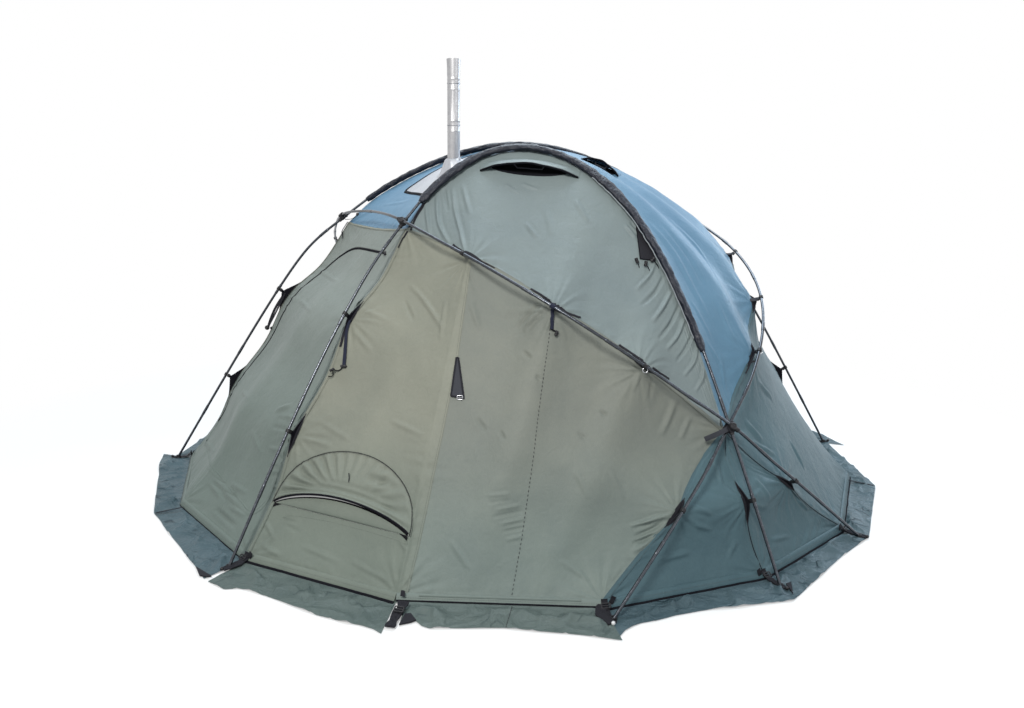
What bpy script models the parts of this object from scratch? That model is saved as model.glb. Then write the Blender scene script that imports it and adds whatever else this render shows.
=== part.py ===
# Geodesic hot tent: five tube poles outside a sewn fabric shell, with two doors, vents,
# ground skirts and a stove pipe. Metres, +Z up. The pole frame looks the same after half a
# turn about Z, so most pieces are made twice, once for each side. X runs along the centre pole.
import math

import bmesh
import bpy
import numpy as np
from mathutils import Vector
from mathutils.bvhtree import BVHTree

# Ground plan
floorRadius = 1.85          # wall corners on the ground
footRadius = 1.945          # pole feet on the ground
cornerAzimuths = {          # degrees from -Y towards +X; the other half repeats them
    "left": -90.0, "doorSill": -67.0, "frontLeft": -43.7, "front": -20.9,
    "frontRight": 3.1, "sideFront": 25.3, "side": 46.2, "right": 70.6}

# Pole frame
poleRadius = 0.0065
poleTipHeight = 0.014       # centre of a pole's end above the ground
peakHeight = 1.773          # crown of the centre pole
centreKnee = (1.278, 1.059)     # centre pole: distance from the axis, height
centreHub = (0.982, 1.368)      # where a diagonal pole crosses the centre pole
sideHub = (1.646, 0.579)        # triple crossing: radius, height
diagonalKnee = (-1.9, 1.356, 1.066)     # azimuth, radius, height
diagonalCrown = (-0.892, 1.405)         # reach along its own mirror plane, height
frontCrown = (1.072, 0.938, 1.716)      # front arch: along the line of its feet, inwards, height
frontShoulder = (1.590, 0.743, 1.486)
poleBends = 42              # straight runs in a pole outside its sleeve
crossingWall = 0.0034       # plastic left between two crossing poles
crossingReach = 0.30        # length over which a pole bends to pass another

# Fabric shell
fabricThickness = 0.003
seamGap = 0.0002            # each panel stops this short of its seam line
clipDrop = 0.045            # seam line below the pole at a clip
hubDrop = 0.055             # seam line below the pole at a crossing
scallop = 0.022             # extra inward draw of a seam between two clips
archClipDrop = 0.062        # the same as clipDrop, for the centre arch's longer clips
seamPull = 0.030            # how far the front arch pulls the long diagonal's seam aside at its clips
wallFoot = 0.030            # wall's lower edge above the ground
tipCut = 0.18               # share of the last cell cut off where a panel runs to a point

# Sleeves that hold the arch crowns
sleeveRadius = 0.019
sleeveBore = 0.0078
sleeveCells = 10            # fabric cells under one sleeve; the pole has two bends in each
frontSleeveGaps = (0.139, 0.346)   # between the front arch's sleeve and its left and right hub
centreSleeveGap = 0.171        # the same for the centre arch, at both ends

# Clips, measured along each pole from its first foot
centreClips = (0.57, 1.144)
frontLeftClips = (0.60, 1.17)
frontRightClip = 4.377
diagonalFootClip = 0.51
diagonalClips = (1.385, 1.825, 2.313)     # over the front
sideClips = (1.389, 1.770, 2.228)         # over the side

# Hubs, foot anchors and skirts
hubRadius = 0.024
hubWall = 0.0032
boreClearance = 0.00035
anchorWidth = 0.040
anchorThickness = 0.004
anchorTail = 0.060          # webbing beyond the pole's tip
anchorRise = 0.055
cupRadius = 0.021
cupHeight = 0.030
skirtWidth = 0.180
skirtThickness = 0.003
cornerSlot = 0.046          # each skirt stops this short of a split corner
notchHalf = 0.040           # half the notch that an unsplit skirt leaves for a foot anchor
notchMargin = 0.006
seatGap = 0.0005

# Door, vents and stove fittings
zipGap = 0.0005             # round each leaf
hingeLift = 0.003           # hinge lines of door and flap outside the cloth
doorSize = dict(sill=0.105, head=1.31, hingeInset=0.075, freeInset=0.080, hingeRound=0.10,
                headRound=0.34)
lowVent = dict(width=0.69, height=0.27, rise=0.147, along=0.50)
peakVent = dict(along=0.353, up=0.866, width=0.36, height=0.085, lip=0.006, hoodWidth=0.46, hoodReach=0.075,
                hoodRise=0.055, sag=0.035, tilt=6.5)
roofVent = dict(along=0.55, up=0.44, width=0.15, height=0.070, lip=0.008, hoodWidth=0.20, hoodReach=0.065,
                hoodRise=0.035, sag=0.010, tilt=0.0)
stoveJack = dict(length=0.46, width=0.44, along=0.220, across=0.49, round=0.03)
pipeRadius = 0.0315
pipeWall = 0.0012
pipeFoot = 1.34             # lower end, inside the tent
pipeTop = 2.150
pipeSteps = (0.32, 0.12)    # joints between the sections, below the pipe's top
pipeFlare = 0.0035
pipeLap = 0.055             # how far a pipe section slips over the one below
collarRadius = 0.050
collarRise = 0.030

halfTurn = np.array([-1.0, -1.0, 1.0])
sides = {"front": np.array([1.0, 1.0, 1.0]), "rear": halfTurn}


def polar(azimuth, radius, height=0.0):
    angle = math.radians(azimuth)
    return np.array([radius * math.sin(angle), -radius * math.cos(angle), height])


def domeNormal(point):
    # outward direction of the paraboloid that the poles follow
    across = 2.0 / footRadius ** 2
    normal = np.array([point[0] * across, point[1] * across, 1.0 / peakHeight])
    return normal / np.linalg.norm(normal)


def unit(vector):
    return vector / np.linalg.norm(vector)


# Poles: smooth curves through their feet, crossings and crowns

def smoothCurve(nodes, count=600):
    # natural cubic spline, knots spaced by the root of the chord
    nodes = np.array(nodes, float)
    chords = np.linalg.norm(np.diff(nodes, axis=0), axis=1)
    knots = np.concatenate([[0.0], np.cumsum(np.sqrt(chords))])
    steps = np.diff(knots)
    matrix = np.eye(len(nodes))
    bend = np.zeros((len(nodes), 3))
    for i in range(1, len(nodes) - 1):
        matrix[i, i - 1:i + 2] = steps[i - 1], 2 * (steps[i - 1] + steps[i]), steps[i]
        bend[i] = 6 * ((nodes[i + 1] - nodes[i]) / steps[i] - (nodes[i] - nodes[i - 1]) / steps[i - 1])
    second = np.linalg.solve(matrix, bend)
    points = []
    for t in np.linspace(0.0, knots[-1], count):
        i = min(int(np.searchsorted(knots, t, side="right")) - 1, len(steps) - 1)
        h, a, b = steps[i], knots[i + 1] - t, t - knots[i]
        points.append((second[i] * a ** 3 + second[i + 1] * b ** 3) / (6 * h)
                      + (nodes[i] / h - second[i] * h / 6) * a
                      + (nodes[i + 1] / h - second[i + 1] * h / 6) * b)
    return np.array(points)


def mirrored(point, azimuth):
    # mirror image in the upright plane that holds the axis and this azimuth
    across = polar(azimuth + 90.0, 1.0)
    return point - 2.0 * np.dot(point, across) * across


class Pole:
    def __init__(self, name, points):
        self.name = name
        self.points = np.array(points)
        self.measure()

    def measure(self):
        steps = np.linalg.norm(np.diff(self.points, axis=0), axis=1)
        self.lengths = np.concatenate([[0.0], np.cumsum(steps)])
        self.length = self.lengths[-1]

    def at(self, distance):
        return np.array([np.interp(distance, self.lengths, self.points[:, k]) for k in range(3)])

    def nearest(self, point):
        return self.lengths[np.argmin(np.linalg.norm(self.points - point, axis=1))]

    def turned(self, name):
        return Pole(name, self.points * halfTurn)

    def bendAside(self, crossings):
        # crossings: (hub point, offset outwards)
        moved = self.points.copy()
        for hub, offset in crossings:
            centre = self.nearest(hub)
            for i, distance in enumerate(self.lengths):
                share = abs(distance - centre) / crossingReach
                if share < 1.0:
                    moved[i] += domeNormal(self.points[i]) * offset * math.cos(share * math.pi / 2) ** 2
        self.points = moved
        self.measure()


corner = {name: polar(azimuth, floorRadius, wallFoot) for name, azimuth in cornerAzimuths.items()}
diagonalPlane = (cornerAzimuths["side"] + cornerAzimuths["frontRight"] + 180.0) / 2

hubCentreLeft = np.array([-centreHub[0], 0.0, centreHub[1]])
hubCentreRight = hubCentreLeft * halfTurn
hubFrontLeft = mirrored(hubCentreLeft, diagonalPlane)
hubSideRight = polar(diagonalPlane - 90.0, *sideHub)


def makePoles():
    centreHalf = [np.array([-footRadius, 0.0, 0.0]), np.array([-centreKnee[0], 0.0, centreKnee[1]]),
                  hubCentreLeft, np.array([0.0, 0.0, peakHeight])]
    centre = Pole("pole_centre", smoothCurve(centreHalf + [p * halfTurn for p in centreHalf[-2::-1]]))
    crown = polar(diagonalPlane, *diagonalCrown)
    half = [polar(cornerAzimuths["side"], footRadius), hubSideRight, polar(*diagonalKnee), hubFrontLeft, crown]
    diagonal = smoothCurve(half + [mirrored(p, diagonalPlane) for p in half[-2::-1]])
    first, last = polar(cornerAzimuths["frontLeft"], footRadius), polar(cornerAzimuths["sideFront"], footRadius)
    along = unit(last - first)
    inward = np.array([-along[1], along[0], 0.0])
    crownAndShoulder = [first + along * a + inward * b + np.array([0.0, 0.0, c])
                        for a, b, c in (frontCrown, frontShoulder)]
    front = Pole("pole_front", smoothCurve([first, hubFrontLeft, *crownAndShoulder, hubSideRight, last]))
    right = Pole("pole_diagonal_right", diagonal)
    step = 2 * poleRadius + crossingWall
    # the diagonals pass outside the arches; at a triple crossing the arch lies between them
    centre.bendAside([(hubCentreLeft, -step / 2), (hubCentreRight, -step / 2)])
    front.bendAside([(hubFrontLeft, -step / 2)])
    right.bendAside([(hubSideRight, step), (hubFrontLeft, step / 2), (hubCentreLeft, step / 2),
                     (hubSideRight * halfTurn, -step)])
    return {"centre": centre, "front": front, "rear": front.turned("pole_rear"),
            "right": right, "left": right.turned("pole_diagonal_left")}


poles = makePoles()


def tipDistance(pole):
    # distance along the pole at which its centre line is a tip's height above the ground
    return float(np.interp(poleTipHeight, pole.points[:60, 2], pole.lengths[:60]))


def sleeveRange(pole):
    if pole is poles["centre"]:
        start = pole.nearest(hubCentreLeft) + centreSleeveGap
        return start, pole.length - start
    if pole in (poles["front"], poles["rear"]):
        turn = 1.0 if pole is poles["front"] else halfTurn
        return (pole.nearest(hubFrontLeft * turn) + frontSleeveGaps[0],
                pole.nearest(hubSideRight * turn) - frontSleeveGaps[1])
    return None


def poleStations(pole):
    # where the tube bends: evenly, with a bend at each crossing and two in each sleeve cell
    start = tipDistance(pole)
    stations = list(np.linspace(start, pole.length - start, poleBends))
    span = sleeveRange(pole)
    if span:
        inside = np.linspace(*span, 2 * sleeveCells + 1)
        stations = [s for s in stations if not span[0] - 0.04 < s < span[1] + 0.04] + list(inside)
    for hub in hubs.values():
        if np.linalg.norm(pole.at(pole.nearest(hub)) - hub) < 0.05:
            here = pole.nearest(hub)
            stations = [s for s in stations if abs(s - here) > 0.03] + [here]
    return sorted(stations)


hubs = {"hub_side_right": hubSideRight, "hub_side_left": hubSideRight * halfTurn,
        "hub_front_left": hubFrontLeft, "hub_rear_right": hubFrontLeft * halfTurn,
        "hub_centre_left": hubCentreLeft, "hub_centre_right": hubCentreRight}


# Scene, collections and finishes

for old in list(bpy.data.objects):
    bpy.data.objects.remove(old, do_unlink=True)
tentCollection = bpy.data.collections.new("geodesic_tent")
cutterCollection = bpy.data.collections.new("cutters")
bpy.context.scene.collection.children.link(tentCollection)
bpy.context.scene.collection.children.link(cutterCollection)


def makeMaterial(name, colour, roughness, metallic=0.0):
    material = bpy.data.materials.new(name)
    material.use_nodes = True
    shader = material.node_tree.nodes["Principled BSDF"]
    shader.inputs["Base Color"].default_value = (*colour, 1.0)
    shader.inputs["Roughness"].default_value = roughness
    shader.inputs["Metallic"].default_value = metallic
    return material


finishes = {
    "canvas": makeMaterial("canvas_sage", (0.25, 0.28, 0.25), 0.75),
    "skirt": makeMaterial("skirt_green", (0.15, 0.19, 0.18), 0.6),
    "pole": makeMaterial("pole_black", (0.03, 0.03, 0.035), 0.3, 0.8),
    "sleeve": makeMaterial("sleeve_black", (0.02, 0.022, 0.03), 0.8),
    "plastic": makeMaterial("plastic_black", (0.015, 0.015, 0.018), 0.5),
    "webbing": makeMaterial("webbing_black", (0.02, 0.02, 0.025), 0.85),
    "heatCloth": makeMaterial("heat_cloth_silver", (0.62, 0.64, 0.68), 0.4, 0.3),
    "steel": makeMaterial("pipe_steel", (0.7, 0.71, 0.73), 0.28, 1.0)}


def addObject(name, mesh, finish=None):
    thing = bpy.data.objects.new(name, mesh)
    if finish:
        mesh.materials.append(finishes[finish])
        tentCollection.objects.link(thing)
    else:
        cutterCollection.objects.link(thing)
        thing.hide_render = True
        thing.display_type = "WIRE"
    return thing


def meshFrom(name, verts, faces, smooth=False):
    mesh = bpy.data.meshes.new(name)
    mesh.from_pydata([tuple(map(float, v)) for v in verts], [], faces)
    mesh.validate()
    if smooth:
        mesh.shade_smooth()
        mesh.set_sharp_from_angle(angle=math.radians(35))
    return mesh


def cut(thing, other, operation="DIFFERENCE"):
    modifier = thing.modifiers.new(operation.lower(), "BOOLEAN")
    modifier.operation = operation
    modifier.object = other


def tubeCurve(name, points, radius, capped=True):
    curve = bpy.data.curves.new(name, "CURVE")
    curve.dimensions = "3D"
    curve.bevel_depth = radius
    curve.bevel_resolution = 2
    curve.use_fill_caps = capped
    spline = curve.splines.new("POLY")
    spline.points.add(len(points) - 1)
    for target, point in zip(spline.points, points):
        target.co = (*point, 1.0)
    spline.use_smooth = True
    return curve


def curveAsMesh(name, points, radius):
    curve = tubeCurve(name, points, radius)
    holder = bpy.data.objects.new(name, curve)
    bpy.context.scene.collection.objects.link(holder)
    graph = bpy.context.evaluated_depsgraph_get()
    mesh = bpy.data.meshes.new_from_object(holder.evaluated_get(graph))
    bpy.data.objects.remove(holder)
    work = bmesh.new()
    work.from_mesh(mesh)
    bmesh.ops.remove_doubles(work, verts=work.verts, dist=1e-5)
    bmesh.ops.recalc_face_normals(work, faces=work.faces)
    work.to_mesh(mesh)
    work.free()
    return mesh


def cylinder(name, centre, direction, radius, height, segments=20, finish=None):
    work = bmesh.new()
    bmesh.ops.create_cone(work, cap_ends=True, segments=segments, radius1=radius, radius2=radius, depth=height)
    turn = Vector((0, 0, 1)).rotation_difference(Vector(direction)).to_matrix().to_4x4()
    turn.translation = Vector(centre)
    bmesh.ops.transform(work, matrix=turn, verts=work.verts)
    mesh = bpy.data.meshes.new(name)
    work.to_mesh(mesh)
    work.free()
    return addObject(name, mesh, finish)


# Poles, their cutters, sleeves and hubs

def makePoleObjects():
    bores = {}
    for pole in poles.values():
        stations = poleStations(pole)
        points = [pole.at(s) for s in stations]
        tube = bpy.data.objects.new(pole.name, tubeCurve(pole.name, points, poleRadius))
        tube.data.materials.append(finishes["pole"])
        tentCollection.objects.link(tube)
        overrun = unit(points[0] - points[1]) * boreClearance
        longer = [points[0] + overrun] + points[1:-1] + [points[-1] + unit(points[-1] - points[-2]) * boreClearance]
        mesh = curveAsMesh(pole.name + "_bore", longer, poleRadius + boreClearance)
        bores[pole.name] = addObject(pole.name + "_bore", mesh)
        span = sleeveRange(pole)
        if span:
            inside = [pole.at(s) for s in stations if span[0] - 1e-6 <= s <= span[1] + 1e-6]
            name = pole.name.replace("pole", "sleeve")
            sleeve = bpy.data.objects.new(name, tubeCurve(name, inside, sleeveBore, capped=False))
            sleeve.data.materials.append(finishes["sleeve"])
            wall = sleeve.modifiers.new("wall", "SOLIDIFY")
            wall.thickness = sleeveRadius - sleeveBore
            wall.offset = 1.0
            tentCollection.objects.link(sleeve)
    return bores


def makeHubs(bores):
    step = 2 * poleRadius + crossingWall
    for name, centre in hubs.items():
        crossing = [p for p in poles.values() if np.linalg.norm(p.at(p.nearest(centre)) - centre) < 0.05]
        height = (len(crossing) - 1) * step + 2 * (poleRadius + boreClearance + hubWall)
        hub = cylinder(name, centre, domeNormal(centre), hubRadius, height, finish="plastic")
        for pole in crossing:
            cut(hub, bores[pole.name])


# Seam lines of the fabric shell, all drawn from the poles above them

def below(pole, distance, drop):
    point = pole.at(distance)
    return point - domeNormal(point) * drop


def pulled(point, ahead, distance):
    # the point moved along the cloth, square to the seam and towards its upper side
    return point + unit(np.cross(domeNormal(point), ahead)) * distance


def seam(anchors, cells, depth=scallop, pull=0.0):
    # straight cloth between anchors, drawn slightly inwards in the middle of each span
    line = [np.array(anchors[0])]
    for start, end, count in zip(anchors, anchors[1:], cells):
        for k in range(1, count + 1):
            share = k / count
            bow = 4 * share * (1 - share) * (count > 1)
            point = start + (end - start) * share
            point = point - domeNormal(point) * depth * bow
            line.append(pulled(point, end - start, pull * bow) if pull else point)
    return line


def footSeam(pole, foot, clips, hub, cells, drop=clipDrop):
    # from a wall corner up a leg to a crossing
    anchors = [foot] + [below(pole, c, drop) for c in clips] + [below(pole, pole.nearest(hub), hubDrop)]
    return seam(anchors, cells)


def sleeveSeam(pole, fromHub, toHub):
    start, end = sleeveRange(pole)
    drop = sleeveRadius + seatGap + fabricThickness / 2
    line = [below(pole, pole.nearest(fromHub), hubDrop)]
    line += [below(pole, s, drop) for s in np.linspace(start, end, sleeveCells + 1)]
    return line + [below(pole, pole.nearest(toHub), hubDrop)]


def straight(start, end, cells):
    return [start + (end - start) * k / cells for k in range(cells + 1)]


def makeSeams():
    centre, front, right, left = poles["centre"], poles["front"], poles["right"], poles["left"]
    leftFromFoot = lambda distance: left.length - distance
    lines = {}
    lines["leftLeg"] = footSeam(centre, corner["left"], centreClips, hubCentreLeft, (2, 2, 2), archClipDrop)
    lines["rightLeg"] = [p * halfTurn for p in lines["leftLeg"]]
    lines["frontLeftLeg"] = footSeam(front, corner["frontLeft"], frontLeftClips, hubFrontLeft, (2, 2, 2))
    lines["sideFrontLeg"] = footSeam(front, corner["sideFront"], (frontRightClip,), hubSideRight, (3, 3))
    lines["sideLeg"] = footSeam(right, corner["side"], (diagonalFootClip,), hubSideRight, (3, 3))
    lines["frontRightLeg"] = footSeam(left, corner["frontRight"], (leftFromFoot(diagonalFootClip),),
                                      hubSideRight, (3, 3))
    hubEnd = below(right, right.nearest(hubFrontLeft), hubDrop)
    towardsFoot = lambda s: right.at(s - 0.05) - right.at(s + 0.05)
    clipEnds = [pulled(below(right, s, clipDrop), towardsFoot(s), seamPull) for s in diagonalClips]
    hubStart = below(right, right.nearest(hubSideRight), hubDrop)
    lines["diagonalFront"] = seam([hubEnd] + clipEnds[::-1] + [hubStart], (3, 3, 3, 3), pull=scallop)
    leftClips = [below(left, leftFromFoot(s), clipDrop) for s in sideClips]
    hubTop = below(left, left.nearest(hubCentreRight), hubDrop)
    lines["diagonalSide"] = seam([hubStart] + leftClips + [hubTop], (2, 2, 2, 2))
    lines["diagonalTop"] = seam([hubEnd, below(right, right.nearest(hubCentreLeft), hubDrop)], (8,))
    lines["frontArch"] = sleeveSeam(front, hubFrontLeft, hubSideRight)
    lines["centreArch"] = sleeveSeam(centre, hubCentreLeft, hubCentreRight)
    # crossing poles hang the same fabric corner, so each corner takes the diagonal's point
    for line, end in (("frontLeftLeg", hubEnd), ("sideFrontLeg", hubStart), ("frontRightLeg", hubStart)):
        lines[line][-1] = end
    lines["leftLeg"][-1] = lines["diagonalTop"][-1]
    lines["rightLeg"][-1] = lines["diagonalSide"][-1] = lines["diagonalTop"][-1] * halfTurn
    lines["frontArch"][0], lines["frontArch"][-1] = hubEnd, hubStart
    lines["centreArch"][0], lines["centreArch"][-1] = lines["leftLeg"][-1], lines["rightLeg"][-1]
    return lines


seams = makeSeams()


def groundLine(*stops, cells):
    line = [corner[stops[0]]]
    for start, end in zip(stops, stops[1:]):
        first = corner[start]
        last = corner["left"] * halfTurn if end == "leftTurned" else corner[end]
        line += straight(first, last, cells)[1:]
    return line


# Panels

def shares(line):
    steps = np.linalg.norm(np.diff(np.array(line), axis=0), axis=1)
    lengths = np.concatenate([[0.0], np.cumsum(steps)])
    return lengths / lengths[-1]


def patch(bottom, top, left, right):
    # Coons patch between four seam lines; rows run from bottom to top
    us = (shares(bottom) + shares(top)) / 2
    vs = (shares(left) + shares(right)) / 2
    grid = np.zeros((len(left), len(bottom), 3))
    for j, v in enumerate(vs):
        for i, u in enumerate(us):
            corners = ((1 - u) * (1 - v) * bottom[0] + u * (1 - v) * bottom[-1]
                       + (1 - u) * v * top[0] + u * v * top[-1])
            grid[j, i] = (1 - u) * left[j] + u * right[j] + (1 - v) * bottom[i] + v * top[i] - corners
    return grid


def tightened(grid, rounds=300):
    # cloth under tension: each inner point settles between its four neighbours
    points = grid.copy()
    inner = points[1:-1, 1:-1]
    for _ in range(rounds):
        total, weight = 0.0, 0.0
        for neighbour in (points[1:-1, 2:], points[1:-1, :-2], points[2:, 1:-1], points[:-2, 1:-1]):
            pull = 1.0 / np.linalg.norm(neighbour - inner, axis=2, keepdims=True)
            total = total + neighbour * pull
            weight = weight + pull
        inner[:] = total / weight
    return points


def drawIn(grid, gap=seamGap):
    # each edge stops a little short of its seam line
    result = grid.copy()
    for a, b in ((0, 1), (-1, -2)):
        for j in range(grid.shape[0]):
            result[j, a] += unit(grid[j, b] - grid[j, a]) * gap
        for i in range(grid.shape[1]):
            result[a, i] += unit(grid[b, i] - grid[a, i]) * gap
    return result


def sheetMesh(name, grid, thickness=fabricThickness):
    # thickness is laid along the dome's own outward direction, so that neighbouring panels
    # meet face to face along their seams
    rows, columns = grid.shape[:2]
    points = grid.reshape(-1, 3)
    outward = np.array([domeNormal(p) for p in points]) * thickness / 2
    verts = list(points + outward) + list(points - outward)
    count = rows * columns
    faces = []
    for j in range(rows - 1):
        for i in range(columns - 1):
            a, b = j * columns + i, j * columns + i + 1
            c, d = b + columns, a + columns
            faces += [(a, b, c), (a, c, d), (a + count, c + count, b + count), (a + count, d + count, c + count)]
    rim = [i for i in range(columns)] + [j * columns + columns - 1 for j in range(1, rows)]
    rim += [(rows - 1) * columns + i for i in range(columns - 2, -1, -1)]
    rim += [j * columns for j in range(rows - 2, 0, -1)]
    for a, b in zip(rim, rim[1:] + rim[:1]):
        faces += [(a, a + count, b + count), (a, b + count, b)]
    return meshFrom(name, verts, faces)


def blunt(line, atStart, atEnd):
    # cut the ends of a seam line back where a panel runs to a point
    line = [np.array(p) for p in line]
    if atStart:
        line[0] = line[0] + (line[1] - line[0]) * tipCut
    if atEnd:
        line[-1] = line[-1] + (line[-2] - line[-1]) * tipCut
    return line


def panelGrids():
    s = seams
    grids = {}
    doorSill = groundLine("left", "doorSill", "frontLeft", cells=4)
    grids["wall_door"] = patch(doorSill, s["diagonalTop"][::-1], s["leftLeg"], s["frontLeftLeg"])
    toClip = s["diagonalFront"][:4]
    ventSeam = straight(corner["front"], toClip[-1], 6)
    grids["wall_vent"] = patch(groundLine("frontLeft", "front", cells=3), toClip, s["frontLeftLeg"], ventSeam)
    frontTop = s["diagonalFront"][3:]
    grids["wall_front"] = patch(groundLine("front", "frontRight", cells=9), frontTop, ventSeam, s["frontRightLeg"])
    low = blunt(s["diagonalFront"], True, True)
    high = blunt(s["frontArch"], True, True)
    grids["wall_upper"] = patch(low, high, straight(low[0], high[0], 5), straight(low[-1], high[-1], 5))
    legs = [blunt(s[k], False, True) for k in ("frontRightLeg", "sideFrontLeg", "sideLeg")]
    first = patch(groundLine("frontRight", "sideFront", cells=4), straight(legs[0][-1], legs[1][-1], 4),
                  legs[0], legs[1])
    second = patch(groundLine("sideFront", "side", cells=4), straight(legs[1][-1], legs[2][-1], 4),
                   legs[1], legs[2])
    grids["wall_corner"] = np.concatenate([first, second[:, 1:]], axis=1)
    sideSill = groundLine("side", "right", "leftTurned", cells=4)
    grids["wall_side"] = tightened(patch(sideSill, s["diagonalSide"], s["sideLeg"], s["rightLeg"]))
    grids["roof_strip"] = patch(s["frontArch"], s["centreArch"], s["diagonalTop"], s["diagonalSide"])
    return {name: drawIn(grid) for name, grid in grids.items()}


class LocalFrame:
    # a place on a panel: origin, out, along (level unless given) and up
    def __init__(self, origin, out, along=None):
        self.origin = origin
        self.out = out
        self.along = unit(np.cross([0.0, 0.0, 1.0], out)) if along is None else along
        self.up = np.cross(self.out, self.along)

    def point(self, a, b, c=0.0):
        return self.origin + self.along * a + self.up * b + self.out * c


def panelFrame(grid, along, up, step=0.04, tilt=None):
    # level across the panel, or turned by a tilt in degrees from the panel's own rows
    across = onGrid(grid, along + step, up) - onGrid(grid, along - step, up)
    slope = onGrid(grid, along, up + step) - onGrid(grid, along, up - step)
    out = unit(np.cross(across, slope))
    if tilt is None:
        return LocalFrame(onGrid(grid, along, up), out)
    row, turn = unit(across), math.radians(tilt)
    return LocalFrame(onGrid(grid, along, up), out, row * math.cos(turn) + np.cross(out, row) * math.sin(turn))


def onGrid(grid, along, up):
    # a point of a panel from its shares across and up
    rows, columns = grid.shape[0] - 1, grid.shape[1] - 1
    x, y = along * columns, up * rows
    i, j = min(int(x), columns - 1), min(int(y), rows - 1)
    fx, fy = x - i, y - j
    low = grid[j, i] * (1 - fx) + grid[j, i + 1] * fx
    high = grid[j + 1, i] * (1 - fx) + grid[j + 1, i + 1] * fx
    return low * (1 - fy) + high * fy


def rounded(corners, radii, steps=6):
    # flat outline, counter-clockwise, each corner rounded by its own radius
    outline = []
    count = len(corners)
    for k in range(count):
        here = np.array(corners[k], float)
        before, after = np.array(corners[k - 1], float), np.array(corners[(k + 1) % count], float)
        inward, onward = unit(before - here), unit(after - here)
        half = math.acos(np.clip(np.dot(inward, onward), -1, 1)) / 2
        if radii[k] <= 0:
            outline.append(here)
            continue
        reach = radii[k] / math.tan(half)
        centre = here + unit(inward + onward) * radii[k] / math.sin(half)
        start, end = here + inward * reach - centre, here + onward * reach - centre
        sweep = math.pi - 2 * half
        for n in range(steps + 1):
            angle = sweep * n / steps
            outline.append(centre + start * math.cos(angle)
                           + np.array([-start[1], start[0]]) * math.sin(angle))
    return outline


def shrunk(outline, inset):
    result = []
    count = len(outline)
    for k in range(count):
        before = unit(outline[k] - outline[k - 1])
        after = unit(outline[(k + 1) % count] - outline[k])
        normalA, normalB = np.array([-before[1], before[0]]), np.array([-after[1], after[0]])
        middle = unit(normalA + normalB)
        result.append(outline[k] + middle * inset / max(0.3, np.dot(middle, normalA)))
    return result


def prism(name, place, outline, depth=0.30):
    work = bmesh.new()
    low = [work.verts.new(place.point(a, b, -depth)) for a, b in outline]
    high = [work.verts.new(place.point(a, b, depth)) for a, b in outline]
    work.faces.new(low[::-1])
    work.faces.new(high)
    for k in range(len(low)):
        n = (k + 1) % len(low)
        work.faces.new((low[k], low[n], high[n], high[k]))
    mesh = bpy.data.meshes.new(name)
    work.to_mesh(mesh)
    work.free()
    return addObject(name, mesh)


def panelTree(grid):
    rows, columns = grid.shape[:2]
    verts = [Vector(p) for p in grid.reshape(-1, 3)]
    faces = []
    for j in range(rows - 1):
        for i in range(columns - 1):
            a = j * columns + i
            faces += [(a, a + 1, a + columns + 1), (a, a + columns + 1, a + columns)]
    return BVHTree.FromPolygons(verts, faces)


def heightOn(tree, place, a, b):
    # how far the panel's middle surface stands out of the frame's flat plane
    hit = tree.ray_cast(Vector(place.point(a, b, 0.4)), Vector(-place.out))
    return 0.4 - hit[3] if hit[0] is not None else 0.0


jointNotes = {}


def makeLeaf(name, panel, grid, place, outline):
    # the panel's own cloth inside the outline, with a gap for the zip
    hole = prism(name + "_hole", place, outline)
    cut(panel, hole)
    leaf = addObject(name, sheetMesh(name, grid), "canvas")
    cut(leaf, prism(name + "_cut", place, shrunk(outline, zipGap)), "INTERSECT")
    return leaf


def hood(name, panelGrid, place, root, width, reach, rise, sag):
    # stiffened rain hood over a vent, open along its lower edge; it rests on the cloth at its rim
    tree = panelTree(panelGrid)
    columns, rows = 10, 4
    level = heightOn(tree, place, 0.0, root)
    flat = np.zeros((rows + 1, columns + 1, 3))
    for j in range(rows + 1):
        for i in range(columns + 1):
            x, y = -1 + 2 * i / columns, 1 - j / rows
            a, b = x * width / 2, root - sag * x * x - reach * y * (1 - 0.35 * x * x)
            ground = heightOn(tree, place, a, b)
            lift = rise * math.sin(y * math.pi / 2) * (1 - x * x)
            flat[j, i] = a, b, ground + lift
    clearance = 1.0
    for j in range(rows):
        for i in range(columns):
            a, b, c, d = flat[j, i], flat[j, i + 1], flat[j + 1, i + 1], flat[j + 1, i]
            for p, q, r in ((a, b, c), (a, c, d)):
                for u in np.linspace(0, 1, 5):
                    for v in np.linspace(0, 1 - u, 4):
                        spot = p * (1 - u - v) + q * u + r * v
                        clearance = min(clearance, spot[2] - heightOn(tree, place, spot[0], spot[1]))
    drop = clearance - fabricThickness * 1.03 - seatGap
    grid = np.array([[place.point(a, b, c - drop) for a, b, c in row] for row in flat])
    piece = addObject(name, sheetMesh(name, grid), "canvas")
    jointNotes[name] = (place.point(-width / 2, root, level - drop), place.point(width / 2, root, level - drop))
    return piece


def makeShell():
    panels = {}
    grids = panelGrids()
    for side, turn in sides.items():
        for name, grid in grids.items():
            full = name + "_" + side
            panels[full] = (addObject(full, sheetMesh(full, grid * turn), "canvas"), grid * turn)
    for side in sides:
        makeDoor(side, *panels["wall_door_" + side])
        makeLowVent(side, *panels["wall_vent_" + side])
        makeVent("peak_vent", side, *panels["wall_upper_" + side], peakVent)
        makeVent("roof_vent", side, *panels["roof_strip_" + side], roofVent)
    makeStoveFittings(*panels["roof_strip_front"])


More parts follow.
